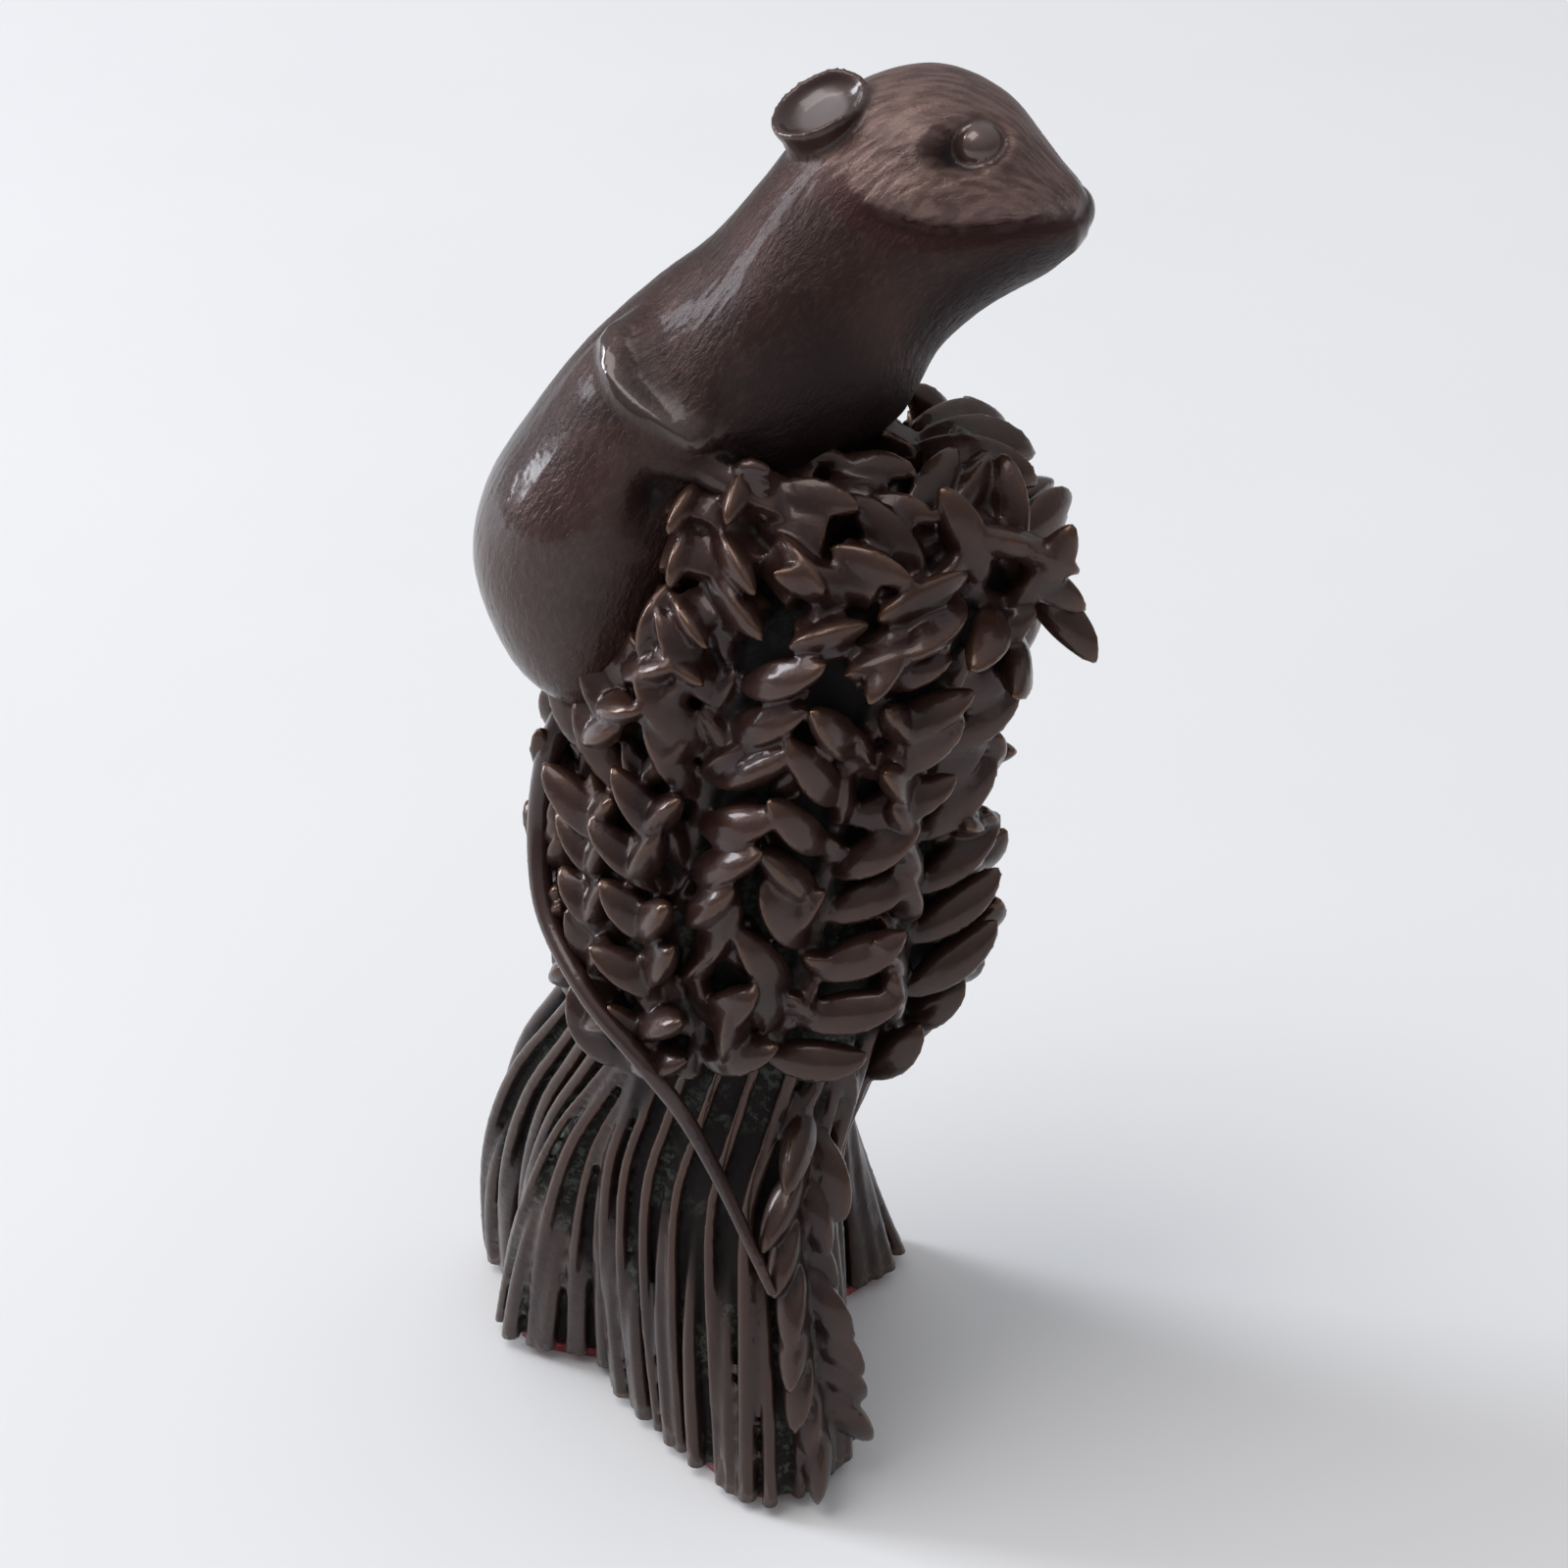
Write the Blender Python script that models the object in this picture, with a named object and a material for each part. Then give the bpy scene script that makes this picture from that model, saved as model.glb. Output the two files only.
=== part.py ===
"""A harvest mouse on a sheaf of wheat: one bronze casting standing on a felt pad.

Metres, +Z up. The mouse looks along +X. The origin is on the ground, under the middle of
the sheaf. Angles round the sheaf are in degrees: 0 faces -Y, and 90 faces +X.
"""

import math

import bmesh
import bpy
import numpy as np

# Driving sizes
HEIGHT = 0.130
HUSK_LENGTH = 0.0104
HUSK_WIDTH = 0.0034
HUSK_DEPTH = 0.0027
STALK_DIAMETER = 0.0020
TAIL_DIAMETER = 0.0026
EYE_DIAMETER = 0.0040
FELT_THICKNESS = 0.0010
FELT_INSET = 0.0032
FELT_GAP = 0.0003

# The free form is laid out 130 units high: a table in units times UNIT is in metres
UNIT = HEIGHT / 130
BASE = FELT_THICKNESS + FELT_GAP

# How finely the casting is skinned, and how many triangles are kept
VOXEL = 0.50 * UNIT
CASTING_TRIANGLES = 9300

# The mouse in profile, from tail root to nose: back (x, z), belly (x, z), half width (y)
MOUSE_PROFILE = UNIT * np.array([
    (-12.6, 75.0, -8.6, 73.6, 2.6),
    (-16.3, 79.9, -4.0, 75.0, 8.4),
    (-18.4, 86.8, 1.5, 81.5, 11.0),
    (-17.2, 93.3, 4.0, 88.0, 11.6),
    (-13.5, 99.4, 6.5, 92.5, 11.4),
    (-8.6, 105.8, 10.0, 95.5, 10.8),
    (-2.6, 111.5, 14.2, 97.8, 10.4),
    (2.3, 115.6, 18.0, 101.0, 10.0),
    (6.1, 119.8, 20.6, 106.4, 9.6),
    (9.9, 124.6, 23.4, 109.4, 9.6),
    (14.4, 128.3, 25.8, 111.2, 9.8),
    (20.0, 129.6, 27.8, 112.4, 9.5),
    (25.3, 127.7, 29.6, 113.5, 8.2),
    (29.0, 123.8, 30.9, 114.6, 6.0),
    (31.3, 120.9, 31.8, 115.4, 3.9),
    (32.6, 119.4, 32.6, 116.6, 2.0),
])

# The head leans over to the far side and turns a little to the near one, in degrees
HEAD_CENTRE = UNIT * np.array((19.5, 0.0, 120.5))
HEAD_LEAN = 18.0
HEAD_TURN = 7.0
# Where along x and z the neck starts to turn, and where the head is fully turned
HEAD_FROM = UNIT * np.array((-3.0, 100.0))
HEAD_TO = UNIT * np.array((8.0, 112.0))

# One side of the face, before the head leans
EYE = UNIT * np.array((23.1, 9.4, 123.3))
EYE_LONG = 3.5 * UNIT
EYE_TALL = 2.1 * UNIT
EYE_SLANT = math.radians(14)
EYE_SINK = UNIT * np.array((0.8, -2.5, 0.0))
SOCKET_DEPTH = 1.8 * UNIT
LID_HEIGHT = 0.32 * UNIT
MOUTH = UNIT * np.array((
    (32.2, 118.3), (31.1, 118.0), (28.9, 117.6), (26.7, 117.2), (24.6, 116.9), (21.6, 116.7),
    (18.8, 117.0), (16.6, 117.7), (14.6, 118.6),
))
MOUTH_DEPTH = 0.9 * UNIT
MOUTH_WIDTH = 0.85 * UNIT
CHEEK_HEIGHT = 0.70 * UNIT
CHEEK_WIDTH = 1.9 * UNIT
NOSE = UNIT * np.array((31.0, 0.0, 118.5))
NOSE_RADII = UNIT * np.array((2.1, 2.7, 2.2))
EAR_CENTRE = UNIT * np.array((11.1, 5.2, 126.0))
EAR_AXIS = np.array((-0.38, 0.60, 0.70))
EAR_RADIUS = 4.1 * UNIT
EAR_SINK = 0.42
# The far ear lies lower, where the photographed side hides it
FAR_EAR_SHIFT = UNIT * np.array((0.6, 2.4, -3.0))

# The haunch's raised front edge, as seen from the camera: (x, how high in the view), its
# height, and how it dies away. A view looks down by VIEW_RISE.
VIEW_RISE = math.radians(30)
HAUNCH = UNIT * np.array([
    (-2.6, 97.4), (-3.7, 96.2), (-4.5, 94.8), (-4.9, 93.0), (-5.0, 91.0), (-4.9, 89.3),
    (-4.5, 87.9), (-3.7, 86.7), (-2.5, 85.7), (-1.0, 84.8), (0.6, 84.0), (2.2, 83.1), (3.7, 82.1),
])
HAUNCH_HEIGHT = 2.3 * UNIT
HAUNCH_RIB = 0.9 * UNIT
HAUNCH_FRONT = 2.3 * UNIT
HAUNCH_BACK = 5.5 * UNIT

# The hollow under the haunch in the same view, its radii and depth
HOLLOW = UNIT * np.array((-2.5, 78.6))
HOLLOW_RADII = UNIT * np.array((2.2, 2.3))
HOLLOW_DEPTH = 2.4 * UNIT

# The near hind foot, from the haunch to the toes: point (x, -y, z) and radius
FOOT = UNIT * np.array([
    (-3.0, 1.0, 92.0, 3.0),
    (-4.6, 4.6, 97.2, 3.2),
    (-3.4, 7.4, 100.0, 2.7),
    (-1.2, 9.4, 100.8, 2.2),
    (1.2, 10.7, 100.3, 1.8),
    (3.2, 11.6, 99.5, 1.5),
    (4.5, 12.4, 99.0, 1.2),
])
TOES = 4
# The far foot reaches further forward and lower
FAR_FOOT_SHIFT = UNIT * np.array((4.0, 0.0, -5.0))

# The sheaf's core: height, middle (x), half width (x), half depth (y)
CORE = UNIT * np.array([
    (0.0, -1.0, 7.6, 7.6),
    (18.0, -0.8, 10.8, 11.0),
    (30.0, 0.0, 12.0, 12.4),
    (38.0, 2.6, 13.2, 13.4),
    (46.0, 5.4, 14.7, 15.2),
    (50.0, 6.6, 15.7, 15.7),
    (56.0, 6.6, 15.7, 16.2),
    (68.0, 6.9, 15.4, 16.3),
    (78.0, 9.2, 15.6, 16.4),
    (86.0, 12.0, 16.4, 16.8),
    (90.0, 12.3, 16.4, 16.4),
])
SHOULDER = 84.0 * UNIT
SHOULDER_RADIUS = 9.0 * UNIT
CROWN = 7.0 * UNIT

# The stalks splay into feet. Each: where it points (degrees), reach, half spread (degrees),
# how square its sides are, the height where it starts, and how its stalks bend: under 1
# bows them outwards, and over 1 inwards
FEET = (
    (22.0, 24.6 * UNIT, 22.0, 2, 40.0 * UNIT, 0.8),
    (40.0, 21.2 * UNIT, 16.0, 4, 40.0 * UNIT, 1.0),
    (131.0, 26.4 * UNIT, 13.0, 4, 26.0 * UNIT, 1.6),
    (226.0, 26.6 * UNIT, 16.0, 4, 42.0 * UNIT, 0.70),
    (256.0, 19.4 * UNIT, 15.0, 4, 42.0 * UNIT, 0.95),
)
FEET_BLEND = 5
STALKS = 76
STALK_FAN = 0.6
# The stalks sweep sideways as they rise: where most (degrees), over what width, how far
SWEEPS = ((250.0, 42.0, 38.0), (345.0, 30.0, -12.0))
STALK_BEND = 1.0
STALK_TOP = 46.0 * UNIT
STALK_SINK = 1.1 * UNIT

# Ears of wheat that the front shows, each from stem to tip: (angle, height) along the core
FRONT_EARS = (
    ((-4, 45), (3, 49), (12, 57), (17, 64), (20, 72), (19, 79), (20, 85)),
    ((-18, 43), (-21, 50), (-26, 62), (-23, 71), (-23, 79), (-24, 86)),
    ((-44, 41), (-42, 48), (-44, 60), (-46, 72), (-50, 83)),
    ((-68, 43), (-64, 50), (-66, 61), (-68, 70)),
    ((-88, 43), (-86, 52), (-90, 62)),
    ((42, 48), (47, 56), (50, 64), (44, 74), (40, 82)),
    ((70, 84), (44, 89), (20, 90), (-2, 88)),
    ((52, 93), (66, 91), (78, 87)),
    ((60, 38), (72, 42), (82, 47)),
)
# Ears that lie over the top, round the mouse's chest: the ear, and how far it is lifted
CROWN_EARS = (
    (((26, 94), (44, 94), (62, 92)), 2.2 * UNIT),
    (((-66, 72), (-60, 79), (-54, 85)), 2.5 * UNIT),
    (((10, 102), (40, 100), (62, 96), (82, 90)), -0.5 * UNIT),
)
# Single husks below the mouse's foot and chest: base and tip (angle, height), and their lift
FOOT_HUSKS = (
    (-43, 98, 2, 98, 6.0),
    (-8, 98, 40, 96, 5.5),
    (-28, 95, 9, 94, 6.0),
    (11, 96, 36, 93, 4.5),
    (-3, 92.5, 19, 90, 5.0),
    (-20, 93, -2, 89.5, 5.0),
    (-40, 92.5, -20, 89.5, 5.5),
    (-36, 96, -29, 92, 8.0),
    (-46, 94, -43, 91, 8.0),
    (-43, 92, -40, 88.5, 6.5),
    (-38, 90.5, -16, 87, 4.0),
    (-12, 87, 10, 88.5, 4.0),
    (2, 85.5, 24, 87, 4.0),
    (9, 88.5, 36, 90, 4.0),
    (-46, 89, -47, 84, 4.5),
    (-44, 88.5, -28, 86, 4.5),
    (-47, 85.5, -28, 84, 4.0),
    (60, 101, 118, 101, 6.0),
    (72, 99, 84, 91, 5.0),
    (88, 99, 104, 91, 5.0),
    (106, 99, 122, 91, 5.0),
)
HANGING_EAR = ((32, 45), (30, 39), (29, 31), (29, 22), (32, 12), (34, 4))
BACK_EARS = 7
TOP_EARS = 4
RIB_RADIUS = 1.1 * UNIT
FILLER_PITCH = 5.0 * UNIT

# The tail hangs down the sheaf's left side and crosses its front: (angle, height, proud)
TAIL_ROOT = UNIT * np.array((-11.4, -0.5, 77.0))
TAIL = (
    (-84, 74.0, 3.4),
    (-81, 69.0, 4.4),
    (-78, 62.0, 5.0),
    (-68, 56.0, 5.2),
    (-49, 51.5, 5.2),
    (-31, 47.0, 5.0),
    (-14, 41.0, 4.2),
    (3, 35.0, 3.6),
    (14, 29.5, 3.2),
    (19, 25.0, 2.8),
)


def clear_scene():
    for item in list(bpy.data.objects):
        bpy.data.objects.remove(item, do_unlink=True)


def smooth_curve(knots, count):
    """Evenly spaced points on a Catmull-Rom curve through the knots, its ends included."""
    knots = np.asarray(knots, float)
    padded = np.vstack([2 * knots[0] - knots[1], knots, 2 * knots[-1] - knots[-2]])
    at = np.linspace(0, len(knots) - 1, count)
    span = np.minimum(at.astype(int), len(knots) - 2)
    t = (at - span)[:, None]
    a, b, c, d = (padded[span + k] for k in range(4))
    return 0.5 * (
        2 * b + (c - a) * t + (2 * a - 5 * b + 4 * c - d) * t**2 + (3 * b - a - 3 * c + d) * t**3
    )


def unit(vector):
    """The vector, or each row of an array, at length one."""
    vector = np.asarray(vector, float)
    return vector / np.linalg.norm(vector, axis=-1, keepdims=True)


def smoothstep(low, high, x):
    t = np.clip((x - low) / (high - low), 0.0, 1.0)
    return t * t * (3 - 2 * t)


def around(count):
    return np.linspace(0, 2 * math.pi, count, endpoint=False)


def loft(bm, rings):
    """A closed skin over rings of equal length, with a flat face over each end."""
    rows = [[bm.verts.new(point) for point in ring] for ring in rings]
    count = len(rows[0])
    for low, high in zip(rows, rows[1:]):
        for k in range(count):
            j = (k + 1) % count
            bm.faces.new((low[k], low[j], high[j], high[k]))
    bm.faces.new(rows[0][::-1])
    bm.faces.new(rows[-1])


def tube(bm, path, radii, sides):
    """A round closed tube along a path, its radius given at each point."""
    path = np.asarray(path)
    along = unit(np.gradient(path, axis=0))
    across = np.cross(along[0], (0.31, 0.52, 0.80))
    rings = []
    for point, direction, radius in zip(path, along, radii):
        across = unit(across - direction * (across @ direction))
        other = np.cross(direction, across)
        rings.append(
            [point + radius * (across * math.cos(a) + other * math.sin(a)) for a in around(sides)]
        )
    loft(bm, rings)


def ball(bm, centre, radii, rings=12, sides=16):
    """An ellipsoid with half axes radii along X, Y and Z."""
    rows = []
    for fall in np.linspace(0.06, math.pi - 0.06, rings):
        rows.append([
            centre + radii * np.array((
                math.sin(fall) * math.cos(a), math.sin(fall) * math.sin(a), math.cos(fall)
            ))
            for a in around(sides)
        ])
    loft(bm, rows)


CORE_CURVE = smooth_curve(CORE, 120)


def foot_reach(angle, height):
    """How far the splayed feet stand out beyond the core's round section."""
    total = 0.0
    for points, foot, spread, square, top, bend in FEET:
        away = abs((angle - points + 180.0) % 360.0 - 180.0) / spread
        rise = max(0.0, 1.0 - height / top) ** 0.65
        total += ((foot - CORE[0, 2]) * rise / (1.0 + away**square)) ** FEET_BLEND
    return total ** (1 / FEET_BLEND)


def core_point(angle, height, proud=0.0, footed=True):
    """A point on the core. Above SHOULDER the height runs on over the rounded top."""
    over = max(0.0, height - SHOULDER)
    bend = min(over / SHOULDER_RADIUS, math.pi / 2)
    inset = SHOULDER_RADIUS * (1 - math.cos(bend)) + max(0.0, over - SHOULDER_RADIUS * math.pi / 2)
    level = min(height, SHOULDER) + SHOULDER_RADIUS * math.sin(bend)
    middle, wide, deep = (np.interp(level, CORE_CURVE[:, 0], CORE_CURVE[:, k]) for k in (1, 2, 3))
    turn = math.radians(angle)
    share = 1.0 - inset / wide
    out = foot_reach(angle, height) * footed + proud * math.cos(bend)
    return np.array((
        middle + math.sin(turn) * (wide * share + out),
        -math.cos(turn) * (deep * share + out),
        level + proud * math.sin(bend),
    ))


def core_normal(angle, height, proud=0.0):
    step = 0.4 * UNIT
    round_way = core_point(angle + 2.0, height, proud) - core_point(angle - 2.0, height, proud)
    up_way = core_point(angle, height + step, proud) - core_point(angle, height - step, proud)
    return unit(np.cross(round_way, up_way))


def even_angles(height, count):
    """Angles that part the core's outline at one height into equal lengths."""
    angles = np.linspace(0, 360, 721)
    outline = np.array([core_point(a, height) for a in angles])
    steps = np.linalg.norm(np.diff(outline, axis=0), axis=1)
    run = np.concatenate([[0], np.cumsum(steps)])
    return np.interp(np.linspace(0, run[-1], count, endpoint=False), run, angles)


def girth(height):
    outline = np.array([core_point(a, height) for a in np.linspace(0, 360, 121)])
    return np.linalg.norm(np.diff(outline, axis=0), axis=1).sum()


def straw_rings(heights, count, proud):
    """Rings round the stalks, each point of which runs straight out from the core to the feet."""
    low = even_angles(0.0, count)
    high = STALK_FAN * even_angles(STALK_TOP, count) + (1 - STALK_FAN) * low
    for middle, width, sweep in SWEEPS:
        away = (low - middle + 180.0) % 360.0 - 180.0
        high = high + sweep * np.exp(-((away / width) ** 2))
    splay = np.array([core_point(a, 0.0) for a in low])
    splay -= [core_point(a, 0.0, footed=False) for a in high]
    bends = np.full(len(low), STALK_BEND)
    for points, foot, spread, square, top, bend in FEET:
        away = (low - points + 180.0) % 360.0 - 180.0
        bends += (bend - STALK_BEND) * np.exp(-((away / spread) ** 2))
    rings = []
    for height in heights:
        fall = 1 - height / STALK_TOP
        share = np.where(bends < 1, 1 - (1 - fall) ** (1 / bends), fall**bends)
        ring = np.array([core_point(a, height, footed=False) for a in high])
        ring += splay * share[:, None]
        tangent = np.roll(ring, -1, axis=0) - np.roll(ring, 1, axis=0)
        outward = unit(np.cross(tangent, (0.0, 0.0, 1.0)))
        rings.append(ring + outward * proud)
    return np.array(rings), high


def add_core(bm):
    """The sheaf's body, sunk a little where the stalks stand on it."""
    heights = np.linspace(0, 0.97 * STALK_TOP, 30)
    rings, angles = straw_rings(heights, 168, -STALK_SINK)
    top = SHOULDER + SHOULDER_RADIUS * math.pi / 2 + CROWN
    upper = np.concatenate([np.linspace(STALK_TOP, SHOULDER, 30), np.linspace(SHOULDER, top, 20)[1:]])
    loft(bm, list(rings) + [[core_point(a, height) for a in angles] for height in upper])


def add_stalks(bm):
    """Straws from the waist down. Every second one starts lower, where the feet are wider."""
    heights = np.linspace(0.0, STALK_TOP, 20)
    rings = straw_rings(heights, STALKS, 0.0)[0]
    sunk = straw_rings(heights, STALKS, -STALK_SINK - STALK_DIAMETER / 2)[0]
    beside = np.roll(rings, -1, axis=1) - rings
    rng = np.random.default_rng(3)
    for k in range(STALKS):
        radius = STALK_DIAMETER / 2 * rng.uniform(0.60, 1.20)
        sway = rng.uniform(-0.4, 0.4) + rng.uniform(-0.3, 0.3) * np.linspace(-1, 1, len(heights))
        path = rings[:, k] + beside[:, k] * sway[:, None]
        radii = radius * np.linspace(1.0, 0.75, len(path))
        end = len(path) if k % 2 == 0 else rng.integers(10, 17)
        if k % 2:
            fade = np.clip((np.arange(len(path)) / (end - 1)), 0, 1) ** 3
            path = path + (sunk[:, k] - path) * fade[:, None]
            radii = radii * (1 - 0.5 * fade)
        tube(bm, path[:end], radii[:end], 8)


def add_husk(bm, base, along, out, crest, size, rng):
    """One husk: a pod standing on edge, keeled along its crest and blunt at its tip."""
    side = np.cross(along, out)
    length = HUSK_LENGTH * size * rng.uniform(0.92, 1.06)
    left = 1 + crest
    right = 1 - crest
    section = (
        (-0.85, -0.1), (-1.0, 0.15), (crest - 0.65 * left, 0.66), (crest - 0.25 * left, 0.91),
        (crest, 1.0), (crest + 0.3 * right, 0.86), (crest + 0.75 * right, 0.56), (1.0, 0.15),
        (0.85, -0.1), (0.5, -0.35), (-0.5, -0.35),
    )
    rings = []
    for t in np.linspace(0.015, 0.985, 13):
        middle = base + along * length * t + out * length * 0.06 * (t * t - 0.5)
        wide = HUSK_WIDTH / 2 * size * math.sin(math.pi * t**0.95) ** 0.68
        deep = HUSK_DEPTH * size * math.sin(math.pi * t**1.05) ** 0.55
        rings.append([middle + side * wide * x + out * deep * y for x, y in section])
    loft(bm, rings)


def grow_husk(bm, angle, height, heading, sideways, size, rng, proud, tilt, lean=(0.12, 0.40)):
    """A husk on the core, pointing along a heading, rolled over sideways by a tilt."""
    normal = core_normal(angle, height)
    base = core_point(angle, height, proud) + sideways * 0.1 * HUSK_WIDTH
    along = unit(heading + normal * rng.uniform(*lean))
    out = normal + sideways * tilt
    out = unit(out - along * (out @ along))
    crest = rng.uniform(0.05, 0.55) * (1 if np.cross(along, out) @ sideways > 0 else -1)
    add_husk(bm, base, along, out, crest, size, rng)


def add_ear(bm, knots, seed, lift=0.0, size=1.0, spread=(35, 50), lean=(0.10, 0.36)):
    """Two rows of husks spread like a herringbone along a rib, lifted off the core."""
    rng = np.random.default_rng(seed)
    knots = smooth_curve(knots, 60)
    rib = np.array([core_point(a, h * UNIT, lift / 2) for a, h in knots])
    tube(bm, rib[::4], np.full(len(rib[::4]), RIB_RADIUS + lift / 2), 10)
    run = np.concatenate([[0], np.cumsum(np.linalg.norm(np.diff(rib, axis=0), axis=1))])
    ways = unit(np.gradient(rib, axis=0))
    pitch = 0.46 * HUSK_LENGTH * size
    for k in range(2 * max(2, int(run[-1] / pitch))):
        hand = 1 if k % 2 else -1
        where = (k / 2 + rng.uniform(-0.08, 0.08)) * pitch
        angle = np.interp(where, run, knots[:, 0])
        height = np.interp(where, run, knots[:, 1]) * UNIT
        normal = core_normal(angle, height)
        forward = np.array([np.interp(where, run, ways[:, axis]) for axis in range(3)])
        forward = unit(forward - normal * (forward @ normal))
        sideways = np.cross(forward, normal) * hand
        turn = math.radians(rng.uniform(*spread))
        heading = forward * math.cos(turn) + sideways * math.sin(turn)
        grow_husk(bm, angle, height, heading, sideways, size, rng,
                  lift + rng.uniform(0.3, 1.0) * UNIT, rng.uniform(-0.1, 0.6), lean)


def add_foot_husks(bm):
    """Single husks that the mouse rests on, each on a bed that joins it to the core."""
    rng = np.random.default_rng(5)
    for angle, height, to_angle, to_height, lift in FOOT_HUSKS:
        bed = np.array([
            core_point(angle + (to_angle - angle) * t, (height + (to_height - height) * t) * UNIT,
                       lift * UNIT / 2)
            for t in (0.1, 0.3, 0.5, 0.7)
        ])
        tube(bm, bed, np.full(4, (lift / 2 + 0.1) * UNIT), 12)
        base = core_point(angle, height * UNIT, lift * UNIT)
        reach = core_point(to_angle, to_height * UNIT, lift * UNIT) - base
        normal = core_normal((angle + to_angle) / 2, (height + to_height) / 2 * UNIT)
        along = unit(reach)
        out = unit(normal - along * (along @ normal))
        size = max(0.62, np.linalg.norm(reach) / HUSK_LENGTH)
        add_husk(bm, base, along, out, rng.uniform(-0.6, -0.1), size, rng)


def add_filler(bm):
    """Loose husks all over the core, low between the ears."""
    rng = np.random.default_rng(7)
    top = SHOULDER + SHOULDER_RADIUS * math.pi / 2
    for row, height in enumerate(np.arange(48.0 * UNIT, top, FILLER_PITCH)):
        count = int(girth(height) / FILLER_PITCH)
        for angle in even_angles(height, count) + 180.0 / count * (row % 2):
            normal = core_normal(angle, height)
            upward = unit(core_point(angle, height + UNIT) - core_point(angle, height))
            across = np.cross(upward, normal)
            turn = math.radians(rng.uniform(-50, 50))
            heading = upward * math.cos(turn) + across * math.sin(turn)
            sideways = np.cross(heading, normal)
            grow_husk(bm, angle, height, heading, sideways, 0.85, rng,
                      rng.uniform(-1.6, -0.6) * UNIT, rng.uniform(-0.5, 0.5))


def add_sheaf(bm):
    add_core(bm)
    add_stalks(bm)
    add_filler(bm)
    for seed, knots in enumerate(FRONT_EARS):
        add_ear(bm, knots, seed)
    for seed, (knots, lift) in enumerate(CROWN_EARS):
        add_ear(bm, knots, 60 + seed, lift, 0.88, lean=(0.0, 0.15))
    add_foot_husks(bm)
    add_ear(bm, HANGING_EAR, 19, 0.0, 0.92, (16, 26), (0.0, 0.16))
    for k in range(BACK_EARS):
        angle = 82 + k * 182 / (BACK_EARS - 1)
        low = 46 + 4 * (k % 2)
        add_ear(bm, ((angle, low), (angle + 7, 58), (angle - 3, 69), (angle + 5, 81)), 20 + k)
    for k in range(TOP_EARS):
        start = 66 + k * 52
        add_ear(bm, ((start, 88), (start + 24, 92), (start + 50, 90)), 40 + k, lean=(0.05, 0.25))
        add_ear(bm, ((start + 10, 96), (start + 40, 97), (start + 68, 95)), 50 + k, size=0.85,
                lean=(-0.1, 0.1))


def turn_head(points):
    """Lean and turn the points of the head about its centre, growing along the neck."""
    points = np.array(points, float)
    share = np.prod(smoothstep(HEAD_FROM, HEAD_TO, points[:, (0, 2)]), axis=1)
    lean = np.radians(HEAD_LEAN) * share
    turn = np.radians(HEAD_TURN) * share
    x, y, z = (points - HEAD_CENTRE).T
    y, z = y * np.cos(lean) + z * np.sin(lean), z * np.cos(lean) - y * np.sin(lean)
    x, y = x * np.cos(turn) + y * np.sin(turn), y * np.cos(turn) - x * np.sin(turn)
    return np.stack([x, y, z], axis=1) + HEAD_CENTRE


def nearest(line, x, z):
    """How far each point is from a line, how far along it, and on which side."""
    gaps = np.hypot(x[:, None] - line[:, 0], z[:, None] - line[:, 1])
    k = np.argmin(gaps, axis=1)
    way = np.gradient(line, axis=0)[k]
    left = way[:, 0] * (z - line[k, 1]) - way[:, 1] * (x - line[k, 0])
    return gaps[np.arange(len(k)), k], k / (len(line) - 1), left


def face_relief(x, y, z):
    """How far the eye sockets, their lids, the mouth and the cheeks rise from the skin."""
    s = (x - EYE[0]) * math.cos(EYE_SLANT) + (z - EYE[2]) * math.sin(EYE_SLANT)
    t = (z - EYE[2]) * math.cos(EYE_SLANT) - (x - EYE[0]) * math.sin(EYE_SLANT)
    away = np.sqrt((s / EYE_LONG) ** 2 + (t / EYE_TALL) ** 2)
    eye = LID_HEIGHT * np.exp(-(((away - 1.15) / 0.16) ** 2))
    eye = eye - SOCKET_DEPTH * smoothstep(1.05, 0.60, away)
    gap, share, left = nearest(smooth_curve(MOUTH, 80), x, z)
    fade = smoothstep(1.0, 0.75, share)
    mouth = CHEEK_HEIGHT * np.exp(-(((gap - CHEEK_WIDTH) / CHEEK_WIDTH) ** 2)) * (left < 0)
    mouth = (mouth - MOUTH_DEPTH * np.exp(-((gap / MOUTH_WIDTH) ** 2))) * fade
    return eye * (y > 3.0 * UNIT) + mouth * smoothstep(0.5 * UNIT, 1.5 * UNIT, y)


def haunch_relief(x, y, z):
    """The haunch: a rib along its front edge, a swelling behind it and a hollow under it."""
    view = z * math.cos(VIEW_RISE) - y * math.sin(VIEW_RISE)
    gap, share, left = nearest(smooth_curve(HAUNCH, 80), x, view)
    rib = np.exp(-((gap / HAUNCH_RIB) ** 2))
    swelling = np.exp(-((gap / np.where(left > 0, HAUNCH_FRONT, HAUNCH_BACK)) ** 2))
    ends = smoothstep(0.0, 0.40, share) * smoothstep(1.0, 0.85, share)
    relief = HAUNCH_HEIGHT * (0.42 * rib + 0.58 * swelling) * ends
    away = ((x - HOLLOW[0]) / HOLLOW_RADII[0]) ** 2 + ((view - HOLLOW[1]) / HOLLOW_RADII[1]) ** 2
    return (relief - HOLLOW_DEPTH * np.exp(-away)) * smoothstep(-0.3 * UNIT, 3.0 * UNIT, y)


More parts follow.
